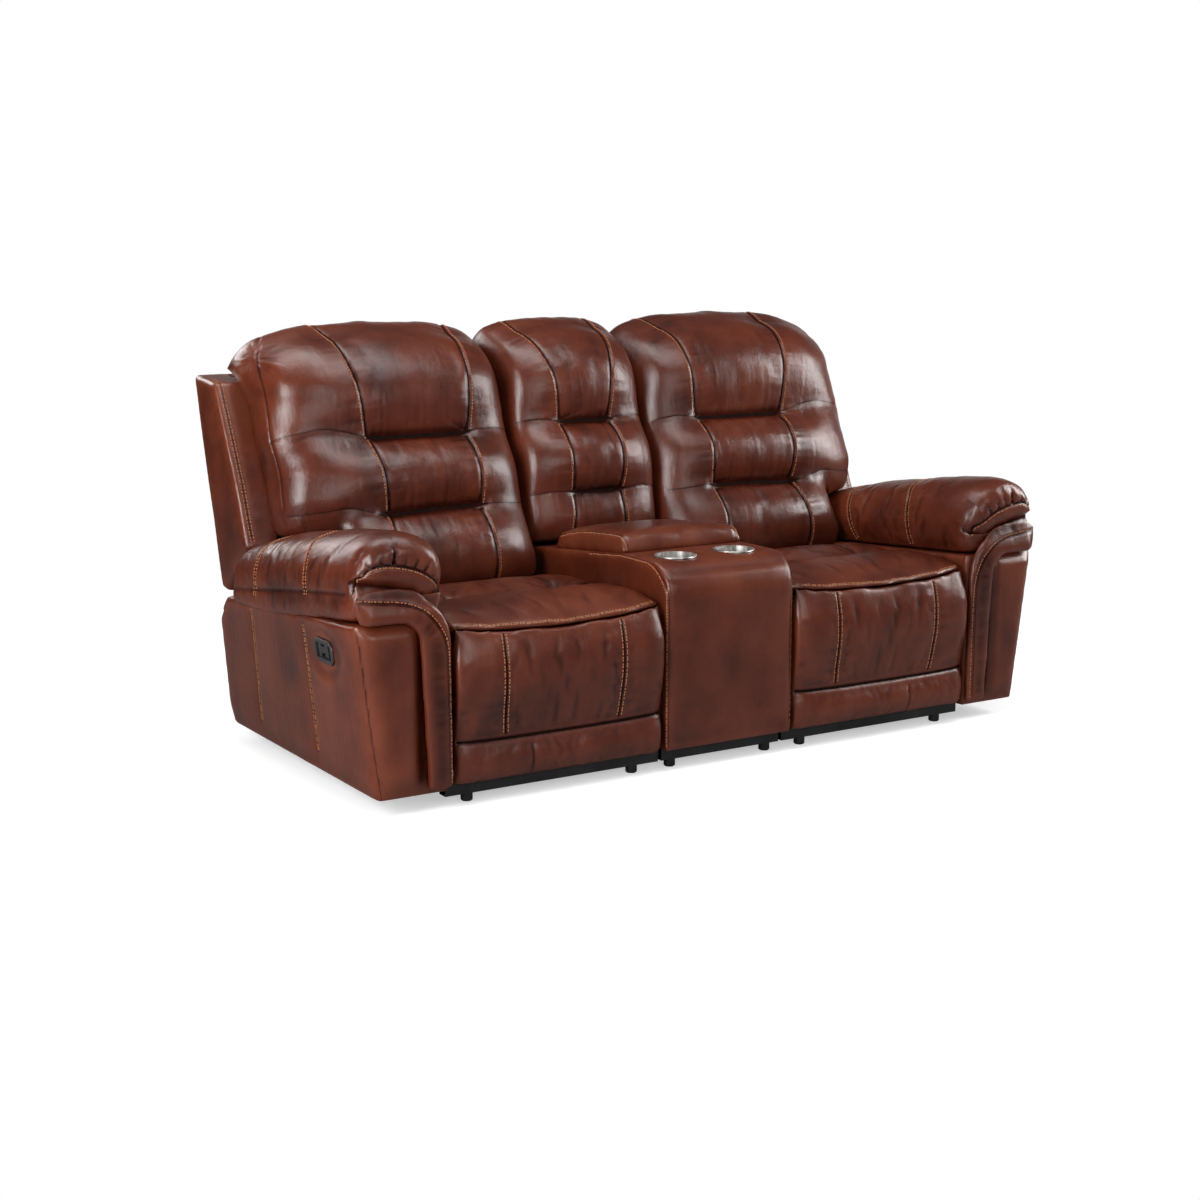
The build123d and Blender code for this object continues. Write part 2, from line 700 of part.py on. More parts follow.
def seat_outline(drop, bow, tuft):
    """Side outline of the seat cushion: slanted front, two crowns, and a tongue under the back cushion."""
    lip = forward(SEAT_LIP_FORWARD - bow * SEAT_BOW, SEAT_LIP_Z + bow * SEAT_BOW)
    crown = SEAT_LIP_Z + SEAT_CROWN - drop
    dip = forward(TUFT_FORWARD, crown - 0.7 * TUFT_DEPTH - tuft)
    rear_crown = forward((TUFT_FORWARD + SEAT_REAR_FORWARD) / 2, crown - 0.7 * TUFT_DEPTH)
    tongue_z = SEAT_FOAM_Z + SEAT_TONGUE_T
    tongue_end = SEAT_REAR_FORWARD - SEAT_TONGUE
    return [
        forward(BOARD_REAR_FORWARD - 1.5 * BOARD_T, SEAT_FOAM_Z),
        lip,
        (forward(SEAT_LIP_FORWARD - FRONT_CROWN_SETBACK, crown), dip),
        (rear_crown, forward(SEAT_REAR_FORWARD, SEAT_LIP_Z - 0.3 * drop)),
        forward(SEAT_REAR_FORWARD - SEAT_TONGUE_T / 2, tongue_z),
        forward(tongue_end, tongue_z),
        forward(tongue_end, SEAT_FOAM_Z),
    ]


def seat_cushion():
    """Seat cushion with a crown, a front edge that bows forward, and a sewn dip across it."""
    shares = [(1.0, 22, 1.0, 0), (0.92, 8, 0.75, 6), (0.55, 0, 0.15, TUFT_DEPTH), (0.1, 0, 0.0, TUFT_DEPTH)]
    left = [(SEAT_MID - s * SEAT_HALF, seat_outline(*rest)) for s, *rest in shares]
    right = [(SEAT_MID + s * SEAT_HALF, seat_outline(*rest)) for s, *rest in reversed(shares)]
    return [loft_x(left + right)]


# Footrest

def footrest_board():
    """Plywood board behind the footrest pad."""
    half = SEAT_HALF - 12
    rear = -BOARD_REAR_FORWARD
    board = box(SEAT_MID - half, SEAT_MID + half, rear - BOARD_T, rear, BOARD_BOTTOM_Z, BOARD_TOP_Z)
    return [fillet(board.edges().filter_by(Axis.Y), 12.0).solid()]


def footrest_brackets():
    """Pressed ears on the board's back, one at each side, with a foot screwed to the board."""
    upper = REST_PIVOT
    lower = REST_LOWER_PIVOT
    face = -BOARD_REAR_FORWARD
    edge = LINK_HALF + 2.5
    outline = [
        (face, upper[1] + 34), (upper[0], upper[1] + edge), (upper[0] + edge, upper[1]),
        (lower[0] + edge, lower[1]), (lower[0] + edge - 4, lower[1] - edge), (face, lower[1] - 46),
    ]
    ear = prism_x(layer_x(3), layer_x(3) + STEEL_T, outline)
    foot = box(layer_x(3) - 30, layer_x(3) + 1, face, face + STEEL_T, lower[1] - 46, upper[1] + 34)
    ear = ear - hole(3, upper, PIN_PLAY) - hole(3, lower, OPEN_PIVOT_PLAY)
    return across_seat((ear + foot).solid())


def footrest_outline(draw, bow):
    """Side outline of the footrest pad: slanted top, long crown, crease and lower band."""
    front = -FRONT_Y - draw
    crease = forward(front - PAD_CREASE_DEPTH, PAD_CREASE_Z)
    low_middle = (PAD_CREASE_Z + PAD_BOTTOM_Z) / 2
    return [
        forward(PAD_REAR_FORWARD, PAD_BOTTOM_Z + 2),
        forward(PAD_REAR_FORWARD, PAD_TOP_Z - PAD_TOP_SLANT),
        forward(SEAT_LIP_FORWARD - bow * SEAT_BOW, PAD_TOP_Z + bow * SEAT_BOW),
        (forward(front - 0.6, (PAD_CREASE_Z + PAD_TOP_Z) / 2), crease),
        (forward(front - SEAM_GAP, low_middle), forward(front - 3 * SEAM_GAP, PAD_BOTTOM_Z)),
    ]


def footrest_pad():
    """Padded footrest front with its lower band, drawn in at the sides."""
    shares = [(1.0, 13, 1.0), (0.92, 3, 0.75), (0.55, 0, 0.15), (0.1, 0, 0.0)]
    left = [(SEAT_MID - s * SEAT_HALF, footrest_outline(*rest)) for s, *rest in shares]
    right = [(SEAT_MID + s * SEAT_HALF, footrest_outline(*rest)) for s, *rest in reversed(shares)]
    return [loft_x(left + right)]


# Back

def channel(start, end, bulge):
    """Arc step from one crease to the next, swelling forward."""
    run = (end[0] - start[0], end[1] - start[1])
    length = hypot(*run)
    middle = (
        (start[0] + end[0]) / 2 - bulge * run[1] / length,
        (start[1] + end[1]) / 2 + bulge * run[0] / length,
    )
    return (middle, end)


def back_outline(foot, seat_z, creases, bulges, setback, drop):
    """Side outline of a back cushion: three channels, rolled head and a flat rear on the frame."""
    low, high = [(y + setback, z) for y, z in creases]
    head = (HEAD_FRONT[0] + 0.6 * setback, HEAD_FRONT[1] - drop)
    top = (HEAD_TOP_Y, HEIGHT - drop)
    shelf = SHELL_TOP_Z + 5
    rest = SHELL_T + POST_DEPTH + SOFT_GAP
    nape = (REAR_Y - 2 * SHELL_T, shelf)
    return [
        foot,
        channel(foot, low, bulges[0]),
        channel(low, high, bulges[1]),
        channel(high, head, bulges[2]),
        channel(head, top, 0.07 * bulges[2]),
        channel(top, nape, 0.28 * bulges[2]),
        (back_line(shelf, rest), shelf),
        (back_line(seat_z, rest), seat_z),
    ]


def back_cushion():
    """Wide back cushion, cut away over the arm and in front of the wing."""
    span = BACK_OUTER_X - BACK_INNER_X
    shares = [
        (0.0, 34, 0.22, 74), (0.05, 8, 0.7, 30), (0.19, 0, 0.96, 6), (0.5, 0, 1.0, 0),
        (0.8, 0, 0.96, 12), (0.94, 10, 0.7, 46), (1.0, 46, 0.22, 104),
    ]
    creases = (LOW_CREASE, HIGH_CREASE)
    sections = []
    for t, setback, fullness, drop in shares:
        foot = (CUSHION_FOOT_Y + setback, CUSHION_BOTTOM_Z)
        bulges = [fullness * b for b in CHANNEL_BULGES]
        outline = back_outline(foot, CUSHION_BOTTOM_Z, creases, bulges, setback, drop)
        sections.append((BACK_INNER_X + t * span, outline))
    cushion = loft_x(sections)
    bay_edge = SEAT_MID + SEAT_HALF
    y0 = FRONT_Y
    slope = (PILLOW_HEIGHT * 0.3 + tan(radians(ARM_TOP_SLOPE)) * 600) / 740
    crest = arm_top(40) + 0.86 * PILLOW_HEIGHT + ARM_CLEARANCE
    over_arm = [
        (y0, crest + slope * (40 - y0)), (REAR_Y, crest - slope * (REAR_Y - 40)),
        (REAR_Y, 0), (y0, 0),
    ]
    cushion = cushion - prism_x(bay_edge, WIDTH, over_arm)
    front_low = (WING_LOW_Y - SOFT_GAP, WING_LOW_Z)
    front_high = (REAR_Y - WING_TOP_DEPTH - SOFT_GAP, SHELL_TOP_Z + 4)
    behind = [front_low, front_high, (REAR_Y + 50, SHELL_TOP_Z + 4), (REAR_Y + 50, 0), (front_low[0], 0)]
    return [(cushion - prism_x(WING_INNER_X - SOFT_GAP, WIDTH, behind)).solid()]


def back_shell():
    """Outer back panel with the padded wing at its outer side."""
    bay_edge = SEAT_MID + SEAT_HALF

    def panel(x0, x1, low):
        path = [
            (back_line(low, SHELL_T), low), (back_line(low), low),
            (REAR_Y, SHELL_TOP_Z), (REAR_Y - SHELL_T, SHELL_TOP_Z),
        ]
        return prism_x(x0, x1, path)

    wing_path = [
        (back_line(WING_BOTTOM_Z), WING_BOTTOM_Z),
        (REAR_Y, SHELL_TOP_Z),
        (REAR_Y - WING_TOP_DEPTH, SHELL_TOP_Z - 12),
        (WING_LOW_Y, WING_LOW_Z),
        (WING_LOW_Y + 0.6 * WING_EDGE_R, WING_LOW_Z - WING_EDGE_R),
        (WING_LOW_Y + 6.4 * WING_EDGE_R, WING_LOW_Z - 5.8 * WING_EDGE_R),
        (back_line(WING_BOTTOM_Z) - WING_FOOT_DEPTH, WING_BOTTOM_Z + WING_EDGE_R),
        (back_line(WING_BOTTOM_Z) - WING_FOOT_DEPTH, WING_BOTTOM_Z),
    ]
    wing = prism_x(WING_INNER_X, WING_OUTER_X, wing_path)
    wing = fillet(wing.faces().sort_by(Axis.X)[-1].edges(), WING_EDGE_R)
    low_panel = panel(BACK_INNER_X, bay_edge, BACK_FOOT_Z)
    return [(low_panel + panel(bay_edge, WING_INNER_X, WING_BOTTOM_Z) + wing).solid()]


def leaning(x0, x1, z0, z1):
    """Timber that lies on the outer back's panel, between two heights."""
    near = SHELL_T + POST_DEPTH
    path = [
        (back_line(z0, near), z0), (back_line(z0, SHELL_T), z0),
        (back_line(z1, SHELL_T), z1), (back_line(z1, near), z1),
    ]
    return prism_x(x0, x1, path)


def back_frame():
    """Two posts, three rails between them, and two arms out to the wing."""
    post_x = layer_x(1)
    far_x = 2 * SEAT_MID - post_x
    frame = leaning(post_x - POST_WIDTH, post_x, FRAME_BOTTOM_Z, FRAME_TOP_Z)
    frame = frame + leaning(far_x, far_x + POST_WIDTH, FRAME_BOTTOM_Z, FRAME_TOP_Z)
    for z in (CUSHION_BOTTOM_Z - FRAME_RAIL_H, LOW_CREASE[1], FRAME_TOP_Z - FRAME_RAIL_H):
        frame = frame + leaning(far_x, post_x, z, z + FRAME_RAIL_H)
    for z in (LOW_CREASE[1], FRAME_TOP_Z - FRAME_RAIL_H):
        frame = frame + leaning(post_x - POST_WIDTH, WING_INNER_X, z, z + FRAME_RAIL_H)
    return [frame.solid()]


def back_brackets():
    """Steel straps from the hinge pins up the outside of the posts."""
    top = CUSHION_BOTTOM_Z + 30
    near = SHELL_T + POST_DEPTH
    outline = [
        (RECLINE_Y - 18, RECLINE_Z - 12), (RECLINE_Y, RECLINE_Z - 18), (RECLINE_Y + 13, RECLINE_Z - 10),
        (back_line(top, SHELL_T + 4), top), (back_line(top, near - 4), top),
    ]
    strap = prism_x(layer_x(1), layer_x(1) + STEEL_T, outline)
    return across_seat((strap + plate_pin(RECLINE_PIVOT)).solid())


# Console

def console_outline(inset):
    """Side outline of the console: upright front, rounded waterfall edge, level then sloping top."""
    front = CONSOLE_FRONT_Y + inset
    rear = CONSOLE_REAR_Y - inset
    r = WATERFALL_R - inset
    turn = r * (1 - cos(radians(45)))
    top = CONSOLE_TOP_Z - inset
    bottom = CONSOLE_BOTTOM_Z if inset == 0 else CONSOLE_BOTTOM_Z - 1
    return [
        (front, bottom),
        (front, top - r),
        ((front + turn, top - turn), (front + r, top)),
        (CONSOLE_KNEE_Y, top),
        (rear, console_top(CONSOLE_REAR_Y) - inset),
        (rear, bottom),
    ]


def bin_space():
    """Storage space under the lid."""
    return box(-BIN_HALF, BIN_HALF, BIN_FRONT_Y, BIN_REAR_Y, BIN_FLOOR_Z, HEIGHT)


def console_cover():
    """Upholstered console, open underneath, with the bin's mouth and two cup holes in its top."""
    outer = prism_x(-CONSOLE_HALF, CONSOLE_HALF, console_outline(0))
    inner = prism_x(COVER_WALL - CONSOLE_HALF, CONSOLE_HALF - COVER_WALL, console_outline(COVER_WALL))
    cover = outer - inner - bin_space()
    hole_r = CUP_R + CUP_WALL + CUP_PLAY
    for side in (-1, 1):
        x = side * CUP_X
        cover = cover - cylinder_z(x, CUP_Y, CONSOLE_TOP_Z - CUP_DEPTH, CONSOLE_TOP_Z + CUP_R, hole_r)
    return [cover.solid()]


def console_frame():
    """Plywood box inside the cover, with the storage bin hung between its sides."""
    half = CONSOLE_HALF - COVER_WALL
    room = prism_x(-half, half, console_outline(COVER_WALL))
    room = room & box(-half, half, FRONT_Y, REAR_Y, RAIL_TOP_Z, HEIGHT)
    front = CONSOLE_FRONT_Y + COVER_WALL
    rear = CONSOLE_REAR_Y - COVER_WALL
    middle = box(PANEL_T - half, half - PANEL_T, front + PANEL_T, rear - PANEL_T, 0, HEIGHT)
    walls = room - middle
    bin_front = BIN_FRONT_Y - PANEL_T
    bin_rear = BIN_REAR_Y + PANEL_T
    ledge = room & box(-half, half, bin_front, bin_rear, BIN_FLOOR_Z - PANEL_T, HEIGHT)
    ledge = ledge - box(
        PANEL_T - half, half - PANEL_T, BIN_FRONT_Y, BIN_REAR_Y, BIN_FLOOR_Z, HEIGHT
    )
    return [(walls + ledge - bin_space()).solid()]


def console_rails():
    """Cross rails under the console, between its covered sides."""
    half = CONSOLE_HALF - COVER_WALL
    return [cross_rail(-half, half, y) for y in (RAIL_FRONT_Y, RAIL_REAR_Y)]


def cup_holders():
    """Two spun steel cups with rolled rims."""
    out = []
    for side in (-1, 1):
        x = side * CUP_X
        floor = CONSOLE_TOP_Z - CUP_DEPTH
        cup = cylinder_z(x, CUP_Y, floor, CONSOLE_TOP_Z + CUP_RIM_T, CUP_R + CUP_WALL)
        rim = cylinder_z(x, CUP_Y, CONSOLE_TOP_Z, CONSOLE_TOP_Z + CUP_RIM_T, CUP_RIM_R)
        rim = fillet(rim.edges().sort_by(Axis.Z)[-1], CUP_RIM_T / 2)
        well = cylinder_z(x, CUP_Y, floor + CUP_WALL, CONSOLE_TOP_Z + 2 * CUP_RIM_T, CUP_R)
        out.append((cup + rim - well).solid())
    return out


# Console lid

def lid_point(ahead, up):
    """Side-view point on the lid: distance ahead of the hinge and above the console's sloping top."""
    slope = radians(CONSOLE_SLOPE)
    base = (LID_REAR_Y, console_top(LID_REAR_Y))
    return (base[0] - ahead * cos(slope) + up * sin(slope), base[1] + ahead * sin(slope) + up * cos(slope))


HINGE_POINT = lid_point(0, HINGE_LIFT)


def lid_board():
    """Plywood under the lid pad."""
    path = [
        lid_point(8, FIT_GAP), lid_point(LID_LENGTH - 12, FIT_GAP),
        lid_point(LID_LENGTH - 12, FIT_GAP + LID_BOARD_T), lid_point(8, FIT_GAP + LID_BOARD_T),
    ]
    return [prism_x(8 - LID_HALF, LID_HALF - 8, path)]


def lid_outline(share):
    """Side outline of the lid pad, lower towards its sides."""
    low = FIT_GAP + LID_BOARD_T
    top = low + LID_PAD_T * share
    near = 0.6 * LID_PAD_T
    return [
        lid_point(0, low),
        (lid_point(0.2 * near, low + 0.7 * (top - low)), lid_point(near, top - 0.1 * LID_PAD_T)),
        (lid_point(LID_LENGTH / 2, top), lid_point(LID_LENGTH - 2 * near, top - 0.08 * LID_PAD_T)),
        (lid_point(LID_LENGTH - 0.5 * near, low + 0.7 * (top - low)), lid_point(LID_LENGTH, low)),
    ]


def lid_pad():
    """Crowned lid pad with a sloped front."""
    shares = [(1.0, 0.55), (0.92, 0.9), (0.5, 1.0)]
    left = [(-s * LID_HALF, lid_outline(h)) for s, h in shares]
    right = [(s * LID_HALF, lid_outline(h)) for s, h in reversed(shares)]
    return [loft_x(left + right)]


def knuckles(offsets):
    """Hinge barrels at the given places along X."""
    out = None
    for x in offsets:
        half = KNUCKLE_LENGTH / 2 - FIT_GAP / 2
        barrel = cylinder_x(x - half, x + half, HINGE_POINT, HINGE_R)
        out = barrel if out is None else out + barrel
    return out


def lid_hinge_leaf():
    """Moving leaf against the lid board's rear edge."""
    offsets = (-KNUCKLE_LENGTH, KNUCKLE_LENGTH)
    path = [
        lid_point(8 - LEAF_T, FIT_GAP), lid_point(8, FIT_GAP),
        lid_point(8, FIT_GAP + LID_BOARD_T), lid_point(8 - LEAF_T, FIT_GAP + LID_BOARD_T),
    ]
    leaf = None
    for x in offsets:
        half = KNUCKLE_LENGTH / 2 - FIT_GAP / 2
        reach = [lid_point(0, HINGE_LIFT - 1), lid_point(8 - LEAF_T / 2, HINGE_LIFT - 1),
                 lid_point(8 - LEAF_T / 2, HINGE_LIFT + 1), lid_point(0, HINGE_LIFT + 1)]
        web = prism_x(x - half, x + half, reach)
        leaf = web if leaf is None else leaf + web
    leaf = leaf + prism_x(-2 * KNUCKLE_LENGTH, 2 * KNUCKLE_LENGTH, path) + knuckles(offsets)
    bore = cylinder_x(-3 * KNUCKLE_LENGTH, 3 * KNUCKLE_LENGTH, HINGE_POINT, HINGE_PIN_R + PIN_PLAY)
    return [(leaf - bore).solid()]


def console_hinge_leaf():
    """Fixed leaf on the console's top, with the hinge pin."""
    offsets = (-2 * KNUCKLE_LENGTH, 0, 2 * KNUCKLE_LENGTH)
    behind = -2 * HINGE_R - 14
    path = [
        lid_point(behind, 0), lid_point(-HINGE_R, 0), lid_point(-HINGE_R, LEAF_T), lid_point(behind, LEAF_T),
    ]
    leaf = prism_x(-2.5 * KNUCKLE_LENGTH, 2.5 * KNUCKLE_LENGTH, path)
    for x in offsets:
        half = KNUCKLE_LENGTH / 2 - FIT_GAP / 2
        reach = [lid_point(-HINGE_R - 1, 0), lid_point(0, HINGE_LIFT - HINGE_R + 1),
                 lid_point(0, HINGE_LIFT), lid_point(-HINGE_R - 1, LEAF_T)]
        leaf = leaf + prism_x(x - half, x + half, reach)
    leaf = leaf + knuckles(offsets)
    pin = cylinder_x(-2.5 * KNUCKLE_LENGTH, 2.5 * KNUCKLE_LENGTH, HINGE_POINT, HINGE_PIN_R)
    return [(leaf + pin).solid()]


# Centre back

def center_profile(near, far):
    """Side outline of a layer of the centre back: upright below the bend, leaning above it."""
    low = RAIL_TOP_Z
    bend = CENTER_BEND_Z
    return [
        (back_line(bend, near), low), (back_line(bend, far), low), (back_line(bend, far), bend),
        (back_line(SHELL_TOP_Z, far), SHELL_TOP_Z), (back_line(SHELL_TOP_Z, near), SHELL_TOP_Z),
        (back_line(bend, near), bend),
    ]


def center_back_frame():
    """Two posts standing on the rear rail, with rails between them."""
    near = SHELL_T + POST_DEPTH
    whole = prism_x(-CENTER_LEG_HALF, CENTER_LEG_HALF, center_profile(near, SHELL_T))
    whole = whole & box(-CENTER_HALF, CENTER_HALF, FRONT_Y, REAR_Y, 0, FRAME_TOP_Z)
    inside = CENTER_LEG_HALF - POST_WIDTH
    levels = (RAIL_TOP_Z + FRAME_RAIL_H, CUSHION_BOTTOM_Z, LOW_CREASE[1] + FRAME_RAIL_H, FRAME_TOP_Z)
    frame = whole
    for low, high in zip(levels[:-1], levels[1:]):
        frame = frame - box(-inside, inside, FRONT_Y, REAR_Y, low, high - FRAME_RAIL_H)
    return [frame.solid()]


def center_back_shell():
    """Outer panel of the centre back, narrower between the seats."""
    panel = prism_x(-CENTER_HALF, CENTER_HALF, center_profile(SHELL_T, 0.0))
    low = console_top(CONSOLE_REAR_Y)
    for side in (-1, 1):
        x = sorted((side * (CONSOLE_HALF - 2), side * (CENTER_HALF + 1)))
        panel = panel - box(x[0], x[1], FRONT_Y, REAR_Y + 1, 0, low)
    return [panel.solid()]


def center_back_cushion():
    """Narrow centre cushion with the same three channels, standing on the console."""
    shares = [(1.0, 30, 0.22, 66), (0.9, 8, 0.65, 26), (0.55, 0, 0.92, 8), (0.0, 0, 1.0, 5)]
    rest_z = console_top(CONSOLE_REAR_Y) + 4 * FIT_GAP
    creases = (CENTER_LOW_CREASE, CENTER_HIGH_CREASE)

    def outline(setback, fullness, drop):
        y = CENTER_FOOT_Y + setback
        foot = (y, console_top(y) + SOFT_GAP)
        bulges = [fullness * b for b in CENTER_BULGES]
        return back_outline(foot, rest_z, creases, bulges, setback, drop)

    left = [(-s * CENTER_HALF, outline(*rest)) for s, *rest in shares]
    right = [(s * CENTER_HALF, outline(*rest)) for s, *rest in reversed(shares[:-1])]
    cushion = loft_x(left + right)
    slab = [
        (FRONT_Y, console_top(FRONT_Y)), (CONSOLE_KNEE_Y, CONSOLE_TOP_Z),
        (REAR_Y, console_top(REAR_Y)), (REAR_Y, 0), (FRONT_Y, 0),
    ]
    return [(cushion - prism_x(-CENTER_HALF - 1, CENTER_HALF + 1, slab)).solid()]


SIDED = {
    "arm_frame": arm_frame,
    "arm_cover": arm_cover,
    "arm_facing": arm_facing,
    "arm_pillow": arm_pillow,
    "release_bezel": release_bezel,
    "release_pull": release_pull,
    "base_frame": base_frame,
    "mechanism_plates": mechanism_plates,
    "glide_blocks": glide_blocks,
    "seat_frame": seat_frame,
    "seat_webbing": seat_webbing,
    "seat_cushion": seat_cushion,
    "front_links": front_links,
    "rear_links": rear_links,
    "upper_links": upper_links,
    "lower_links": lower_links,
    "footrest_brackets": footrest_brackets,
    "footrest_board": footrest_board,
    "footrest_pad": footrest_pad,
    "back_frame": back_frame,
    "back_brackets": back_brackets,
    "back_shell": back_shell,
    "back_cushion": back_cushion,
}

SHARED = {
    "feet": feet,
    "console_frame": console_frame,
    "console_cover": console_cover,
    "console_rails": console_rails,
    "cup_holders": cup_holders,
    "console_hinge_leaf": console_hinge_leaf,
    "lid_hinge_leaf": lid_hinge_leaf,
    "lid_board": lid_board,
    "lid_pad": lid_pad,
    "center_back_frame": center_back_frame,
    "center_back_shell": center_back_shell,
    "center_back_cushion": center_back_cushion,
}


def main():
    os.makedirs("parts", exist_ok=True)
    for name, make in SIDED.items():
        solids = make()
        export_step(Compound(solids), f"parts/right_{name}.step")
        export_step(Compound([s.mirror(Plane.YZ) for s in solids]), f"parts/left_{name}.step")
    for name, make in SHARED.items():
        export_step(Compound(make()), f"parts/{name}.step")


if __name__ == "__main__":
    main()
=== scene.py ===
"""Looks of the reclining sofa: stuffed leather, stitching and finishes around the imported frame.

Metres, +X right as seen from the front, +Y to the back, +Z up. Sided pieces are shaped on the right
and mirrored, each side with its own wrinkles.
"""

import itertools
import math
from typing import NamedTuple

import bpy
import numpy as np
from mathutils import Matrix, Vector
from mathutils.bvhtree import BVHTree
from mathutils.kdtree import KDTree


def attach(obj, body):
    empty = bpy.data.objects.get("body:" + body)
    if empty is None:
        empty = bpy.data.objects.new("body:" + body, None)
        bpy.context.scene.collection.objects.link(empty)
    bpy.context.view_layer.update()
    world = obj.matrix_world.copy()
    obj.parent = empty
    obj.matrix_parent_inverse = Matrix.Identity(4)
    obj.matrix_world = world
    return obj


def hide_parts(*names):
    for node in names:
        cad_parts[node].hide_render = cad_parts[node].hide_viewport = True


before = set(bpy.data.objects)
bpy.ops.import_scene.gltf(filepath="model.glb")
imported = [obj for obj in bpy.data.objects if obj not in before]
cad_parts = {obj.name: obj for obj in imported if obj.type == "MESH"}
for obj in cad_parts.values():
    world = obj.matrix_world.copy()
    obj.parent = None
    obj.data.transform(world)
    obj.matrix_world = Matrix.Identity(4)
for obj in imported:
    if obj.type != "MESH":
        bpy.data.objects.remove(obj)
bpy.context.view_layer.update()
scene = bpy.context.scene

# Stitches and seams in metres

SEAM_STEP = 0.003
STITCH_PITCH = 0.0078
STITCH_LENGTH = 0.0056
STITCH_RADIUS = 0.0012
ROW_OFFSET = 0.0060
DOUBLE_ROW = (-ROW_OFFSET, ROW_OFFSET)
CLOSE_DOUBLE_ROW = (-0.0042, 0.0042)
# Strips of painted seam shade: near-black strips laid along seams where the gap between panels is in shade
SHADE_STRIP_HALF = 0.0007
FINE_SHADE_STRIP = 0.0005
SHADE_STRIP_LIFT = 0.0004
PROUD_RISE = 0.004
PROUD_FADE = 0.05

# Cloth that the stuffing blows up

SIM_FRAMES = 18
PRESSURE = 4.0
CLOTH_RULES = {
    "quality": 5,
    "mass": 0.25,
    "tension_stiffness": 30.0,
    "compression_stiffness": 30.0,
    "shear_stiffness": 15.0,
    "bending_stiffness": 0.6,
    "use_pressure": True,
    "shrink_min": -0.008,
    "shrink_max": -0.008,
}

# Sides of the sofa: name, whether mirrored, seed of its wrinkles

SIDES = (("right", False, 3), ("left", True, 11))


# Arrays and noise

def smooth_step(low, high, value):
    """0 below low, 1 above high, and smooth between them."""
    t = np.clip((value - low) / (high - low), 0.0, 1.0)
    return t * t * (3 - 2 * t)


def band(value, start, full, end, gone):
    """1 from full to end, falling to 0 at start and at gone."""
    return smooth_step(start, full, value) * (1 - smooth_step(end, gone, value))


def noise(points, seed):
    """Smooth lattice noise from -1 to 1, with lumps of about one unit."""
    cell = np.floor(points).astype(np.int64)
    part = points - cell
    part = part * part * (3 - 2 * part)
    total = np.zeros(len(points))
    for corner in itertools.product((0, 1), repeat=3):
        at = cell + np.array(corner)
        key = at[:, 0] * 73856093 ^ at[:, 1] * 19349663 ^ at[:, 2] * 83492791 ^ (seed * 2654435761)
        key = (key ^ (key >> 13)) * 1274126177
        key = (key ^ (key >> 16)) & 0xFFFF
        weight = np.prod(np.where(np.array(corner) == 1, part, 1 - part), axis=1)
        total += weight * (key / 32767.5 - 1)
    return total


def ridges(along, pitch, seed):
    """Uneven ripple along one measure, mostly from -1 to 1."""
    line = np.stack([along / pitch, np.full(len(along), 0.37), np.full(len(along), 0.71)], axis=1)
    return noise(line, seed) + 0.5 * noise(line * 2.1, seed + 1)


class Skin:
    """Surface of one soft piece as arrays, with the mesh that they belong to."""

    def __init__(self, mesh):
        self.mesh = mesh
        count = len(mesh.vertices)
        self.co = np.empty(count * 3)
        mesh.vertices.foreach_get("co", self.co)
        self.co = self.co.reshape(-1, 3)
        self.edges = np.empty(len(mesh.edges) * 2, np.int32)
        mesh.edges.foreach_get("vertices", self.edges)
        self.edges = self.edges.reshape(-1, 2)
        self.degree = np.maximum(1, np.bincount(self.edges.ravel(), minlength=count))

    def around(self, values):
        """Mean of the neighbours' values, for columns of values."""
        a, b = self.edges.T
        out = np.empty_like(values)
        for k in range(values.shape[1]):
            column = values[:, k]
            total = np.bincount(a, column[b], len(values)) + np.bincount(b, column[a], len(values))
            out[:, k] = total / self.degree
        return out

    def relax(self, rounds, share=0.5):
        """Smooths the surface; share may differ from point to point."""
        share = np.broadcast_to(share, len(self.co))[:, None]
        for _ in range(rounds):
            self.co = self.co + share * (self.around(self.co) - self.co)

    def write(self):
        self.mesh.vertices.foreach_set("co", self.co.astype(np.float32).ravel())
        self.mesh.update()

    def normals(self):
        self.write()
        out = np.empty(len(self.co) * 3)
        self.mesh.vertex_normals.foreach_get("vector", out)
        return out.reshape(-1, 3)

    def lift(self, amount):
        """Moves each point along its normal."""
        self.co = self.co + self.normals() * np.broadcast_to(amount, len(self.co))[:, None]

    def tree(self):
        faces = [tuple(p.vertices) for p in self.mesh.polygons]
        return BVHTree.FromPolygons([tuple(p) for p in self.co], faces)


def linked(name, data):
    """A new object in the scene."""
    made = bpy.data.objects.new(name, data)
    scene.collection.objects.link(made)
    return made


def remeshed(node, voxel, rounds):
    """Even, smoothed surface of a CAD solid."""
    work = linked("work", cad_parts[node].data.copy())
    even = work.modifiers.new("even", "REMESH")
    even.mode = "VOXEL"
    even.voxel_size = voxel
    skin = Skin(applied(work))
    skin.relax(rounds)
    return skin


def applied(work):
    """Mesh of an object with its modifiers, after which the object goes."""
    graph = bpy.context.evaluated_depsgraph_get()
    mesh = bpy.data.meshes.new_from_object(work.evaluated_get(graph))
    bpy.data.objects.remove(work)
    return mesh


def finer(skin):
    """One more subdivision of a surface."""
    skin.write()
    work = linked("work", skin.mesh)
    work.modifiers.new("finer", "SUBSURF").levels = 1
    return Skin(applied(work))


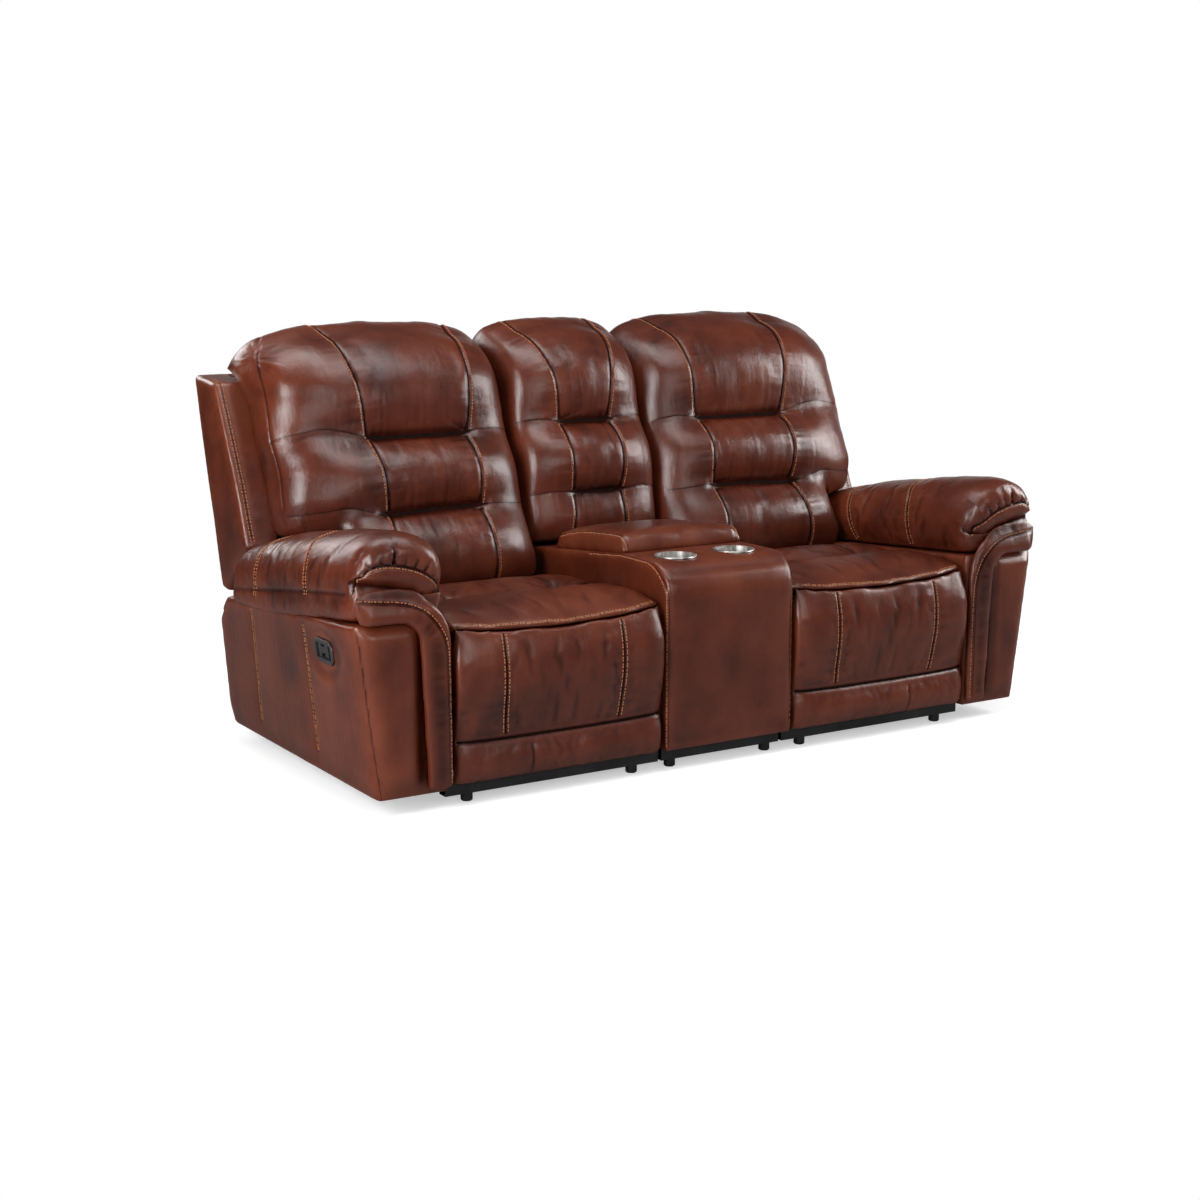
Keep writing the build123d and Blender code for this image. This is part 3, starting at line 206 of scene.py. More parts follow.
def stuffed(skin, hold, cap, pressure=PRESSURE):
    """Blows the cover up in a cloth simulation, up to cap; hold is 1 where it is sewn down, 0 where free."""
    start = skin.co.copy()
    skin.write()
    work = linked("work", skin.mesh.copy())
    held = work.vertex_groups.new(name="held")
    levels = np.round(hold * 10).astype(int)
    for level in range(1, 11):
        picked = np.nonzero(levels == level)[0]
        held.add(picked.tolist(), level / 10, "REPLACE")
    cloth = work.modifiers.new("cloth", "CLOTH")
    rules = cloth.settings
    for key, value in CLOTH_RULES.items():
        setattr(rules, key, value)
    rules.uniform_pressure_force = pressure
    rules.vertex_group_mass = "held"
    rules.effector_weights.gravity = 0.0
    cloth.point_cache.frame_start = 1
    cloth.point_cache.frame_end = SIM_FRAMES
    for number in range(1, SIM_FRAMES + 1):
        scene.frame_set(number)
    graph = bpy.context.evaluated_depsgraph_get()
    result = work.evaluated_get(graph).to_mesh()
    moved = np.empty(len(start) * 3)
    result.vertices.foreach_get("co", moved)
    move = moved.reshape(-1, 3) - start
    bpy.data.objects.remove(work)
    scene.frame_set(1)
    length = np.linalg.norm(move, axis=1)
    scale = cap * np.tanh(length / cap) / np.maximum(length, 1e-9)
    skin.co = start + move * scale[:, None]
    skin.relax(1, 0.35)


# Seams and stitches

class Line:
    """A sewn line on a surface: its points, normals, directions and distance along it."""

    def __init__(self, tree, points):
        points = [Vector(p) for p in points]
        ends = [2 * points[0] - points[1]] + points + [2 * points[-1] - points[-2]]
        dense = []
        for a, b, c, d in zip(ends, ends[1:], ends[2:], ends[3:]):
            steps = max(2, round((c - b).length / SEAM_STEP))
            for k in range(steps):
                t = k / steps
                dense.append(0.5 * (2 * b + (c - a) * t + (2 * a - 5 * b + 4 * c - d) * t * t
                                    + (3 * b - a - 3 * c + d) * t * t * t))
        dense.append(points[-1])
        found = [tree.find_nearest(p) for p in dense]
        self.at = np.array([f[0] for f in found])
        self.normal = np.array([f[1] for f in found])
        for _ in range(3):
            self.at[1:-1] = (self.at[:-2] + 2 * self.at[1:-1] + self.at[2:]) / 4
            self.normal[1:-1] = (self.normal[:-2] + 2 * self.normal[1:-1] + self.normal[2:]) / 4
        self.normal /= np.linalg.norm(self.normal, axis=1)[:, None]
        self.way = np.gradient(self.at, axis=0)
        self.way /= np.maximum(np.linalg.norm(self.way, axis=1), 1e-9)[:, None]
        self.side = np.cross(self.normal, self.way)
        steps = np.linalg.norm(np.diff(self.at, axis=0), axis=1)
        self.along = np.concatenate([[0.0], np.cumsum(steps)])

    def shifted(self, tree, offset):
        """The same line moved sideways along the surface."""
        return Line(tree, (self.at + offset * self.side)[::4])

    def measure(self, points, reach):
        """Distance, place along the line and signed side distance of the points within reach of it."""
        low = self.at.min(0) - reach
        high = self.at.max(0) + reach
        near = np.nonzero(np.all((points > low) & (points < high), axis=1))[0]
        tree = KDTree(len(self.at))
        for k, p in enumerate(self.at):
            tree.insert(p, k)
        tree.balance()
        found = [tree.find(points[k]) for k in near]
        index = np.array([f[1] for f in found], int)
        away = np.array([f[2] for f in found], float)
        keep = away < reach
        near = near[keep]
        index = index[keep]
        across = np.einsum("ij,ij->i", points[near] - self.at[index], self.side[index])
        return near, away[keep], self.along[index], across


def lines_on(tree, paths):
    """Several sewn lines on one surface."""
    return [Line(tree, points) for points in paths]


def flipped(points):
    """The same line on the other side of the middle."""
    return [(-x, y, z) for x, y, z in points]


class Seam(NamedTuple):
    """Form of a seam: its groove, the short gathers beside it, and how far it fades in at its ends."""

    depth: float
    width: float
    pucker: float = 0.0
    pitch: float = 0.018
    reach: float = 0.03
    fade: float = 0.02


def sewn(skin, line, seam, seed=1, proud=0.0):
    """How far a seam lifts each point, with one side standing proud."""
    near, away, along, across = line.measure(skin.co, max(4 * seam.reach, 3 * seam.width))
    move = np.zeros(len(skin.co))
    ends = smooth_step(0, seam.fade, along) * smooth_step(0, seam.fade, line.along[-1] - along)
    part = -seam.depth * np.exp(-(away / seam.width) ** 2)
    part += proud * smooth_step(0.0, PROUD_RISE, across) * np.exp(-across / PROUD_FADE)
    if seam.pucker:
        swell = (away / seam.reach) * np.exp(1 - away / seam.reach)
        wave = np.where(across > 0, ridges(along, seam.pitch, seed), ridges(along, seam.pitch, seed + 7))
        part += seam.pucker * wave * swell
    move[near] = part * ends
    return move


def all_sewn(skin, lines, seam, seed):
    """How far several seams of one form lift each point."""
    return sum(sewn(skin, line, seam, seed + k) for k, line in enumerate(lines))


class Thread:
    """Collects the stitches and the strips of painted seam shade on one surface."""

    def __init__(self, tree):
        self.tree = tree
        self.rows = []
        self.strips = []

    def shade_strip(self, line, half):
        """Narrow dark strip of painted shade along a line, where two panels meet."""
        strip = []
        for at, side in zip(line.at, line.side):
            for share in (-1, 0, 1):
                place, normal, _, _ = self.tree.find_nearest(Vector(at + share * half * side))
                strip.append(np.array(place + SHADE_STRIP_LIFT * normal))
        self.strips.append(np.array(strip))

    def sew(self, line, offsets, shade_strip=None):
        """Rows of stitches at signed distances from a line, and painted seam shade on it if its half width is
        given.
        """
        spots = STITCH_PITCH * (np.arange(int(line.along[-1] / STITCH_PITCH)) + 0.5)
        for offset in offsets:
            for spot in spots:
                k = int(np.searchsorted(line.along, spot))
                k = min(max(k, 1), len(line.at) - 1)
                place, normal, _, _ = self.tree.find_nearest(Vector(line.at[k] + offset * line.side[k]))
                self.rows.append((np.array(place), line.way[k], np.array(normal)))
        if shade_strip:
            self.shade_strip(line, shade_strip)

    def sew_edges(self, lines):
        """One row of stitches inside each of two edge seams that mirror each other."""
        for line, sign in zip(lines, (1, -1)):
            self.sew(line, [sign * ROW_OFFSET], FINE_SHADE_STRIP)

    def mesh(self, name, mirrored):
        """Small rounded bars along each stitch, and the strips of painted seam shade in the second material.
        """
        sides = 5
        ring = [(math.cos(a), math.sin(a)) for a in np.arange(sides) * math.tau / sides]
        profile = ((-0.5, 0.25), (-0.3, 1.0), (0.3, 1.0), (0.5, 0.25))
        bar_points = sides * len(profile)
        place, way, up = (np.array(column) for column in zip(*self.rows))
        way = way - up * np.einsum("ij,ij->i", way, up)[:, None]
        way /= np.maximum(np.linalg.norm(way, axis=1), 1e-9)[:, None]
        side = np.cross(up, way)
        points = []
        for share, thick in profile:
            for c, s in ring:
                offset = way * share * STITCH_LENGTH + side * c * thick * STITCH_RADIUS
                height = STITCH_RADIUS * (0.35 + s * thick - 1.5 * (abs(share) > 0.4))
                points.append(place + offset + up * height)
        co = np.stack(points, axis=1).reshape(-1, 3)
        faces = []
        for r in range(0, bar_points - sides, sides):
            for k in range(sides):
                n = (k + 1) % sides
                faces.append((r + k, r + sides + k, r + sides + n, r + n))
        faces.append(tuple(range(sides)))
        faces.append(tuple(range(bar_points - 1, bar_points - 1 - sides, -1)))
        every = [tuple(bar_points * i + v for v in f[::-1]) for i in range(len(place)) for f in faces]
        bars = len(every)
        for strip in self.strips:
            first = len(co)
            co = np.concatenate([co, strip])
            for k in range(first, first + len(strip) - 3, 3):
                every += [(k, k + 3, k + 4, k + 1), (k + 1, k + 4, k + 5, k + 2)]
        if mirrored:
            co[:, 0] *= -1
            every = [f[::-1] for f in every]
        mesh = bpy.data.meshes.new(name)
        mesh.from_pydata(co.tolist(), [], every)
        mesh.materials.append(THREAD)
        mesh.materials.append(SEAM_SHADE)
        mesh.polygons.foreach_set("use_smooth", [True] * len(every))
        mesh.polygons.foreach_set("material_index", [0] * bars + [1] * (len(every) - bars))
        return mesh


# Materials

def material(name, build, **sockets):
    """Node material; build links into the principled shader, and plain values go on its sockets."""
    made = bpy.data.materials.new(name)
    made.use_nodes = True
    tree = made.node_tree
    shader = tree.nodes["Principled BSDF"]
    for socket, value in sockets.items():
        shader.inputs[socket.replace("_", " ")].default_value = value
    build(tree, shader)
    return made


def feed(tree, socket, value):
    """Puts a plain value or another node's output on a socket."""
    if isinstance(value, bpy.types.NodeSocket):
        tree.links.new(value, socket)
    else:
        socket.default_value = value


def add(tree, kind, *ordered, **named):
    """A shader node: values feed its inputs by order or by name, and other names are its settings."""
    node = tree.nodes.new(kind)
    for socket, value in zip(node.inputs, ordered):
        feed(tree, socket, value)
    for key, value in named.items():
        if key in node.inputs:
            feed(tree, node.inputs[key], value)
        else:
            setattr(node, key, value)
    return node


def stretched(tree, scale=(1, 1, 1)):
    """Object coordinates scaled by axis."""
    place = add(tree, "ShaderNodeTexCoord").outputs["Object"]
    return add(tree, "ShaderNodeMapping", Vector=place, Scale=scale).outputs["Vector"]


def cloud(tree, scale, detail=2.0, stretch=(1, 1, 1), roughness=0.5):
    """Fractal noise in object space."""
    node = add(tree, "ShaderNodeTexNoise", Scale=scale, Detail=detail, Roughness=roughness,
               Vector=stretched(tree, stretch))
    return node.outputs["Fac"]


def tinted(tree, shader, value, *stops):
    """Base colour that follows a value, by stops of place and colour."""
    node = add(tree, "ShaderNodeValToRGB", Fac=value)
    scale = node.color_ramp
    while len(scale.elements) < len(stops):
        scale.elements.new(0.5)
    for element, (place, colour) in zip(scale.elements, stops):
        element.position = place
        element.color = (*colour, 1)
    feed(tree, shader.inputs["Base Color"], node.outputs["Color"])


def ranged(tree, value, low, high, to_low=0.0, to_high=1.0, curve="SMOOTHSTEP"):
    """Value brought from one range into another."""
    node = add(tree, "ShaderNodeMapRange", value, low, high, to_low, to_high, interpolation_type=curve)
    return node.outputs["Result"]


def combined(tree, operation, *values, clamp=False):
    """Math node on values that may be numbers."""
    return add(tree, "ShaderNodeMath", *values, operation=operation, use_clamp=clamp).outputs[0]


def bumped(tree, shader, height, strength, distance):
    """Relief of the surface that follows a value."""
    node = add(tree, "ShaderNodeBump", Strength=strength, Distance=distance, Height=height)
    feed(tree, shader.inputs["Normal"], node.outputs["Normal"])


def leather(tree, shader):
    """Leather, dark in the folds and warm on the crowns, partly its rubbed colour and partly painted shade
    and light; cloudy, with a fine pebbled grain.
    """
    # Painted shade and light: darker in the folds, lighter on the crowns, partly the leather's rubbed colour
    rub_and_shade = add(tree, "ShaderNodeAttribute", attribute_name="rub_and_shade").outputs["Fac"]
    wide = cloud(tree, 4.2, 3.0, (1, 1, 0.7), 0.55)
    patch = cloud(tree, 13.0, 4.0, (1, 1, 0.8), 0.6)
    value = combined(tree, "ADD", rub_and_shade, combined(tree, "MULTIPLY_ADD", wide, 0.80, -0.41))
    value = combined(tree, "ADD", value, combined(tree, "MULTIPLY_ADD", patch, 0.44, -0.225), clamp=True)
    tinted(tree, shader, value,
           (0.0, (0.011, 0.0022, 0.0014)),
           (0.30, (0.042, 0.0074, 0.0034)),
           (0.52, (0.087, 0.0158, 0.0060)),
           (0.76, (0.138, 0.0290, 0.0102)),
           (1.0, (0.195, 0.0500, 0.0180)))
    feed(tree, shader.inputs["Roughness"], ranged(tree, patch, 0, 1, 0.24, 0.36, "LINEAR"))
    # Painted shade: the folds reflect less, as if in shade
    feed(tree, shader.inputs["Specular IOR Level"], ranged(tree, rub_and_shade, 0.14, 0.46, 0.02, 0.52))
    pebble = add(tree, "ShaderNodeTexVoronoi", Scale=520.0, Vector=stretched(tree))
    creased = cloud(tree, 95.0, 3.0, (1, 1, 0.55))
    streak = cloud(tree, 80.0, 3.0, (1, 1, 0.10), 0.55)
    grain = combined(tree, "MULTIPLY_ADD", creased, 1.6, pebble.outputs["Distance"])
    grain = combined(tree, "MULTIPLY_ADD", streak, 1.5, grain)
    bumped(tree, shader, grain, 0.22, 0.0012)


def drifting(scale, detail, *stops, stretch=(1, 1, 1), roughness=0.5, bump=None, texture=None):
    """Look whose colour drifts from stop to stop.

    Bump is the strength and depth of a relief, which follows the colour or a texture of its own scale.
    """
    def build(tree, shader):
        shade = cloud(tree, scale, detail, stretch, roughness)
        tinted(tree, shader, shade, *stops)
        if bump:
            bumped(tree, shader, cloud(tree, texture) if texture else shade, *bump)
    return build


def zinc(tree, shader):
    """Plated steel with cloudy grey patches."""
    patch = cloud(tree, 30.0, 4.0)
    tinted(tree, shader, patch, (0.3, (0.30, 0.31, 0.32)), (0.7, (0.46, 0.46, 0.45)))
    feed(tree, shader.inputs["Roughness"], ranged(tree, patch, 0, 1, 0.28, 0.5, "LINEAR"))


def webbing(tree, shader):
    """Woven elastic strap with ribs across it."""
    weave = add(tree, "ShaderNodeTexWave", Scale=160.0, Distortion=0.4, bands_direction="Y",
                Vector=stretched(tree)).outputs["Fac"]
    tinted(tree, shader, weave, (0.2, (0.05, 0.05, 0.055)), (0.8, (0.13, 0.125, 0.12)))
    bumped(tree, shader, weave, 0.5, 0.001)


# Sewing thread, painted seam shade, stained board, powder coat, moulded and bearing plastic, drawn steel

thread_look = drifting(900.0, 1.0, (0.3, (0.28, 0.096, 0.035)), (0.7, (0.47, 0.192, 0.075)),
                       bump=(0.3, 0.0005))
# Painted shade: near-black colour for the strips that stand for the shade in the seams
seam_shade_look = drifting(60.0, 2.0, (0.3, (0.004, 0.0013, 0.001)), (0.7, (0.010, 0.0032, 0.0022)))
plywood = drifting(6.0, 5.0, (0.3, (0.048, 0.022, 0.012)), (0.55, (0.082, 0.040, 0.021)),
                   (0.8, (0.115, 0.060, 0.032)), stretch=(1, 0.9, 9.0), roughness=0.6, bump=(0.15, 0.001))
black_coat = drifting(9.0, 3.0, (0.35, (0.010, 0.010, 0.011)), (0.75, (0.024, 0.023, 0.024)),
                      bump=(0.2, 0.0008), texture=420.0)
moulded = drifting(25.0, 2.0, (0.3, (0.016, 0.016, 0.017)), (0.7, (0.030, 0.030, 0.031)),
                   bump=(0.25, 0.0006), texture=700.0)
nylon = drifting(18.0, 2.0, (0.3, (0.62, 0.61, 0.56)), (0.7, (0.74, 0.73, 0.69)))
# Drawn steel with vertical light and dark stripes in its colour: partly brushed grain, partly painted
# reflections
brushed_steel_and_reflections = drifting(48.0, 2.0, (0.36, (0.42, 0.40, 0.37)), (0.58, (0.93, 0.91, 0.88)),
                      stretch=(1, 1, 0.02), roughness=0.6)

LEATHER = material("leather", leather)
THREAD = material("thread", thread_look, Roughness=0.6)
# Painted seam shade: dull, near-black, hardly reflecting
SEAM_SHADE = material("painted_seam_shade", seam_shade_look, Roughness=0.8, Specular_IOR_Level=0.05)

# Finishes, each with the nodes that have it; a sided node goes by its name without the side

FINISHES = [
    (material("timber", plywood, Roughness=0.7),
     ("arm_frame", "seat_frame", "footrest_board", "back_frame", "console_frame", "lid_board",
      "center_back_frame")),
    (material("mechanism_steel", zinc, Metallic=1.0),
     ("mechanism_plates", "front_links", "rear_links", "upper_links", "lower_links", "footrest_brackets",
      "back_brackets", "console_hinge_leaf", "lid_hinge_leaf")),
    (material("black_steel", black_coat, Roughness=0.42), ("base_frame", "feet", "console_rails")),
    (material("nylon", nylon, Roughness=0.35, Subsurface_Weight=0.1), ("glide_blocks",)),
    (material("webbing", webbing, Roughness=0.85), ("seat_webbing",)),
    (material("black_plastic", moulded, Roughness=0.38), ("release_bezel", "release_pull")),
    (material("stainless", brushed_steel_and_reflections, Metallic=1.0, Roughness=0.36), ("cup_holders",)),
]


# Soft pieces

# Leather darker in folds and creases and lighter on crowns, by curvature: partly its rubbed colour, partly
# painted shade and light
CREASE_DEPTH = 0.0006
FOLD_DEPTH = 0.004
CREASE_SHARE = 0.13
CREST_LIMIT = 0.35
CROWN_SHARE = 0.08
FOLD_SHARE = 0.29
DARKEST = 0.10
PUFF_REACH = 0.15
FAR_OFF = 0.2

# Ways that a surface can face

FRONT = (0, -1, 0)
REAR = (0, 1, 0)
UP = (0, 0, 1)
DOWN = (0, 0, -1)
OUT = (1, 0, 0)


def rub_and_shade_of(skin):
    """Shade of the leather at each point, low in the folds and high on the crowns: partly its rubbed colour,
    partly painted shade and light.
    """
    normal = skin.normals()
    fine = Skin(skin.mesh)
    fine.co = skin.co.copy()
    fine.relax(6)
    small = np.einsum("ij,ij->i", skin.co - fine.co, normal)
    fine.relax(40)
    large = np.einsum("ij,ij->i", skin.co - fine.co, normal)
    small = np.tanh(small / CREASE_DEPTH)
    large = np.tanh((large - np.median(large)) / FOLD_DEPTH)
    rub_and_shade = 0.5 + CREASE_SHARE * np.minimum(small, CREST_LIMIT)
    rub_and_shade += np.where(large > 0, CROWN_SHARE, FOLD_SHARE) * large
    return np.clip(rub_and_shade, DARKEST, 1.0)


def show(name, skin, thread, body, nodes, mirrored=False):
    """Puts a finished soft piece and its stitches in the scene."""
    rub_and_shade = rub_and_shade_of(skin)
    mesh = skin.mesh.copy()
    co = skin.co.copy()
    if mirrored:
        co[:, 0] *= -1
        mesh.flip_normals()
    mesh.vertices.foreach_set("co", co.astype(np.float32).ravel())
    mesh.update()
    # Painted shade and light by curvature, partly the leather's rubbed colour, kept on each point
    mesh.attributes.new("rub_and_shade", "FLOAT", "POINT").data.foreach_set("value", rub_and_shade.astype(np.float32))
    mesh.polygons.foreach_set("use_smooth", [True] * len(mesh.polygons))
    mesh.materials.clear()
    mesh.materials.append(LEATHER)
    piece = linked(name, mesh)
    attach(piece, body)
    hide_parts(*nodes)
    if thread.rows:
        stitches = linked(name + "_stitches", thread.mesh(name + "_stitches", mirrored))
        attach(stitches, body)


def turned(skin, way, low, high):
    """1 where the surface faces a way and 0 where it turns off it, by limits on the cosine."""
    return smooth_step(low, high, skin.normals() @ np.array(way, float))


def sideways(skin, low, high):
    """1 where the surface faces either side of the sofa."""
    return smooth_step(low, high, np.abs(skin.normals()[:, 0]))


def near_to(skin, lines, full, free):
    """1 within full metres of any of the lines, falling to 0 at free metres."""
    hold = np.zeros(len(skin.co))
    for line in lines:
        near, away, _, _ = line.measure(skin.co, free)
        hold[near] = np.maximum(hold[near], 1 - smooth_step(full, free, away))
    return hold


def gap_to(skin, lines):
    """Distance of each point from the nearest of the lines, as far as that matters for a puffed panel."""
    gap = np.full(len(skin.co), FAR_OFF)
    for line in lines:
        near, away, _, _ = line.measure(skin.co, PUFF_REACH)
        gap[near] = np.minimum(gap[near], away)
    return gap


def uneven(skin, seed, height, scales, fine_height, fine_scale):
    """Slight waves of leather over padding, broad ones and fine ones."""
    return height * noise(skin.co * scales, seed) + fine_height * noise(skin.co * fine_scale, seed + 1)


def raised(skin, move):
    """Lifts a surface by its last details, and gives the thread to sew it with."""
    skin.lift(move)
    skin.write()
    return Thread(skin.tree())


def both_sides(make, detail, label, body, node):
    """Shapes a sided piece once, then details and shows it on the right and on the left."""
    coarse = make()
    for side, mirrored, seed in SIDES:
        skin = Skin(coarse.mesh.copy())
        skin.co = coarse.co.copy()
        thread = detail(skin, seed)
        ridden = f"{side}_{body}" if body != "root" else "root"
        show(f"{side}_{label}", skin, thread, ridden, [f"{side}_{node}"], mirrored)


# Wide back cushion

BACK_INNERS = [
    [(0.300, 0.440, 1.050), (0.317, 0.330, 1.042), (0.330, 0.225, 1.000), (0.339, 0.165, 0.926),
     (0.345, 0.148, 0.835), (0.357, 0.172, 0.766)],
    [(0.363, 0.160, 0.762), (0.361, 0.090, 0.715), (0.359, 0.075, 0.670), (0.362, 0.090, 0.590)],
    [(0.363, 0.080, 0.586), (0.359, 0.010, 0.530), (0.357, 0.002, 0.480), (0.357, 0.015, 0.400)],
]
BACK_OUTERS = [
    [(0.690, 0.440, 1.050), (0.677, 0.313, 1.043), (0.672, 0.230, 1.000), (0.663, 0.175, 0.942),
     (0.648, 0.155, 0.841), (0.637, 0.172, 0.764)],
    [(0.633, 0.160, 0.762), (0.630, 0.090, 0.715), (0.627, 0.075, 0.670), (0.617, 0.090, 0.590)],
    [(0.616, 0.080, 0.586), (0.628, 0.010, 0.530), (0.634, 0.004, 0.480), (0.630, 0.015, 0.400)],
]
BACK_FOLDS = [
    [(0.213, 0.190, 0.764), (0.250, 0.178, 0.772), (0.300, 0.172, 0.774), (0.357, 0.172, 0.766),
     (0.497, 0.172, 0.765), (0.637, 0.172, 0.767), (0.700, 0.170, 0.785), (0.757, 0.172, 0.794),
     (0.830, 0.185, 0.782), (0.888, 0.210, 0.765)],
    [(0.213, 0.115, 0.584), (0.270, 0.095, 0.586), (0.362, 0.090, 0.590), (0.490, 0.090, 0.588),
     (0.615, 0.090, 0.580), (0.655, 0.090, 0.585), (0.721, 0.085, 0.608), (0.800, 0.100, 0.602),
     (0.888, 0.130, 0.590)],
]
BACK_EDGE = [
    (0.800, 0.420, 1.010), (0.848, 0.345, 0.985), (0.872, 0.285, 0.930), (0.878, 0.235, 0.850),
    (0.879, 0.205, 0.765), (0.879, 0.165, 0.680), (0.879, 0.140, 0.600),
]
BACK_PANEL = (0.357, 0.637)
BACK_ROW = 0.0085
BACK_FOLD = Seam(0.0065, 0.013, fade=0.001)
BACK_CREASE = Seam(0.0022, 0.0038, 0.0008, 0.012, 0.034, 0.001)
BACK_UPRIGHT = Seam(0.0038, 0.0042, 0.0010, 0.016, 0.018, 0.004)
BACK_PROUD = 0.0020
BACK_RIM = Seam(0.0026, 0.0042, 0.0008, 0.022, 0.026)
BACK_VOXEL = 0.009
GATHER_POINT = np.array([0.868, 0.320, 0.965])
TOP_CORNER = np.array([0.880, 0.370, 0.940])
OUTER_WAY = np.array([0.78, -0.63, 0.0])


def middle_share(x, inner, outer):
    """1 in the middle panel of a back and 0 on its side panels."""
    return band(x, inner - 0.03, inner + 0.02, outer - 0.02, outer + 0.03)


def even_edge(skin, way, low, high):
    """Takes the waves out of a cushion's outline between two heights; way is the level way that it faces."""
    z = skin.co[:, 2]
    reach = skin.co @ way
    steps = np.arange(low, high, 0.012)
    outline = np.array([reach[np.abs(z - step) < 0.010].max() for step in steps])
    off = np.polyval(np.polyfit(steps, outline, 2), steps) - outline
    share = smooth_step(-0.11, -0.02, reach - np.interp(z, steps, outline))
    share *= band(z, low, low + 0.05, high - 0.05, high)
    skin.co += (np.interp(z, steps, off) * share)[:, None] * way


def back_seams(skin, folds, rows, middle, fold, seed):
    """How far the seams of a channelled back lift each point; the folds are deep in the middle panel only."""
    move = np.zeros(len(skin.co))
    for k, line in enumerate(folds):
        move += sewn(skin, line, fold) * middle
        move += sewn(skin, line, BACK_CREASE, seed + k) * (0.45 + 0.55 * middle)
    for line, sign in rows:
        move += sewn(skin, line, BACK_UPRIGHT, seed + 2 + (sign > 0), BACK_PROUD * sign)
    return move


def back_thread(thread, folds, rows):
    """One row of stitches beside each upright seam, and strips of painted shade on all seams."""
    for line, sign in rows:
        thread.sew(line, [sign * BACK_ROW], SHADE_STRIP_HALF)
    for line in folds:
        thread.shade_strip(line, FINE_SHADE_STRIP)
    return thread


def back_shape():
    skin = remeshed("right_back_cushion", voxel=BACK_VOXEL, rounds=3)
    x, _, z = skin.co.T
    middle = middle_share(x, *BACK_PANEL)
    skin.relax(16, 0.5 - 0.28 * middle)
    flank = (1 - middle) * band(z, 0.45, 0.50, 0.84, 0.92)
    skin.relax(90, 0.5 * flank)
    ear = np.exp(-(np.linalg.norm(skin.co - TOP_CORNER, axis=1) / 0.075) ** 2)
    skin.relax(30, 0.5 * ear)
    skin.lift(0.016 * ear)
    skin.co[:, 0] -= 0.009 * smooth_step(0.245, 0.215, skin.co[:, 0])
    over_arm = smooth_step(0.752, 0.775, skin.co[:, 0]) * (1 - smooth_step(0.585, 0.665, skin.co[:, 2]))
    skin.co[:, 2] -= 0.050 * over_arm
    skin.lift(-0.006)
    tree = skin.tree()
    folds = lines_on(tree, BACK_FOLDS)
    ups = lines_on(tree, BACK_INNERS + BACK_OUTERS + [BACK_EDGE])
    across = (0.2 + 0.8 * middle) * near_to(skin, folds, 0.010, 0.035)
    hold = np.maximum(across, 0.8 * near_to(skin, ups, 0.006, 0.026))
    rear = turned(skin, REAR, 0.25, 0.6)
    under = turned(skin, DOWN, 0.5, 0.8)
    inner_side = sideways(skin, 0.7, 0.95)
    hold = np.maximum.reduce([hold, rear, under, 0.7 * inner_side])
    stuffed(skin, hold, cap=0.020)
    skin.relax(12, (0.5 - 0.3 * middle) * (1 - hold))
    even_edge(skin, OUTER_WAY, 0.60, 0.92)
    return finer(skin)


def back_detail(skin, seed):
    tree = skin.tree()
    folds = lines_on(tree, BACK_FOLDS)
    rows = [(line, -1) for line in lines_on(tree, BACK_INNERS)]
    rows += [(line, 1) for line in lines_on(tree, BACK_OUTERS)]
    edge = Line(tree, BACK_EDGE)
    x, y, z = skin.co.T
    middle = middle_share(x, *BACK_PANEL)
    move = back_seams(skin, folds, rows, middle, BACK_FOLD, seed)
    move += sewn(skin, edge, BACK_RIM, seed + 4)
    front = turned(skin, FRONT, 0.1, 0.5)
    head = band(z, 0.79, 0.86, 0.98, 1.03)
    second = band(z, 0.60, 0.64, 0.72, 0.76)
    upright = noise(skin.co * (82, 6, 7), seed + 20)
    slanted = noise(np.stack([(x + 0.5 * z) * 78, y * 6, (z - 0.5 * x) * 9], axis=1), seed + 21)
    move += front * middle * (0.0002 * head * upright + 0.0003 * second * slanted)
    move += front * uneven(skin, seed + 22, 0.0004, (14, 12, 11), 0.00010, 48)
    corner = np.linalg.norm(skin.co - GATHER_POINT, axis=1)
    angle = np.arctan2(z - GATHER_POINT[2], GATHER_POINT[0] - x)
    gathers = ridges(angle + 4.0, 0.24, seed + 24)
    move += 0.0030 * gathers * np.exp(-((corner - 0.040) / 0.035) ** 2)
    return back_thread(raised(skin, move), folds, rows)


both_sides(back_shape, back_detail, "back_upholstery", "back", "back_cushion")


# Centre back cushion

CENTER_SEAMS = [
    [(0.124, 0.420, 1.045), (0.124, 0.334, 1.031), (0.102, 0.190, 0.960), (0.089, 0.154, 0.899),
     (0.073, 0.181, 0.778)],
    [(0.074, 0.172, 0.774), (0.079, 0.095, 0.720), (0.078, 0.090, 0.690), (0.071, 0.110, 0.602)],
    [(0.072, 0.104, 0.596), (0.076, 0.078, 0.545), (0.078, 0.080, 0.520), (0.078, 0.100, 0.470)],
]
CENTER_FOLDS = [
    [(-0.198, 0.205, 0.778), (-0.130, 0.183, 0.786), (-0.073, 0.181, 0.777), (0.0, 0.181, 0.776),
     (0.073, 0.181, 0.777), (0.130, 0.183, 0.786), (0.198, 0.205, 0.778)],
    [(-0.198, 0.130, 0.594), (-0.130, 0.112, 0.604), (-0.073, 0.108, 0.600), (0.0, 0.108, 0.598),
     (0.073, 0.108, 0.600), (0.130, 0.112, 0.604), (0.198, 0.130, 0.594)],
]
CENTER_PANEL = (-0.075, 0.075)
CENTER_FOLD = Seam(0.0060, 0.012, fade=0.001)


def center_rows(tree):
    """The upright seams of the centre back, each with the side that its stitches are on."""
    rows = []
    for points in CENTER_SEAMS:
        rows += [(Line(tree, points), 1), (Line(tree, flipped(points)), -1)]
    return rows


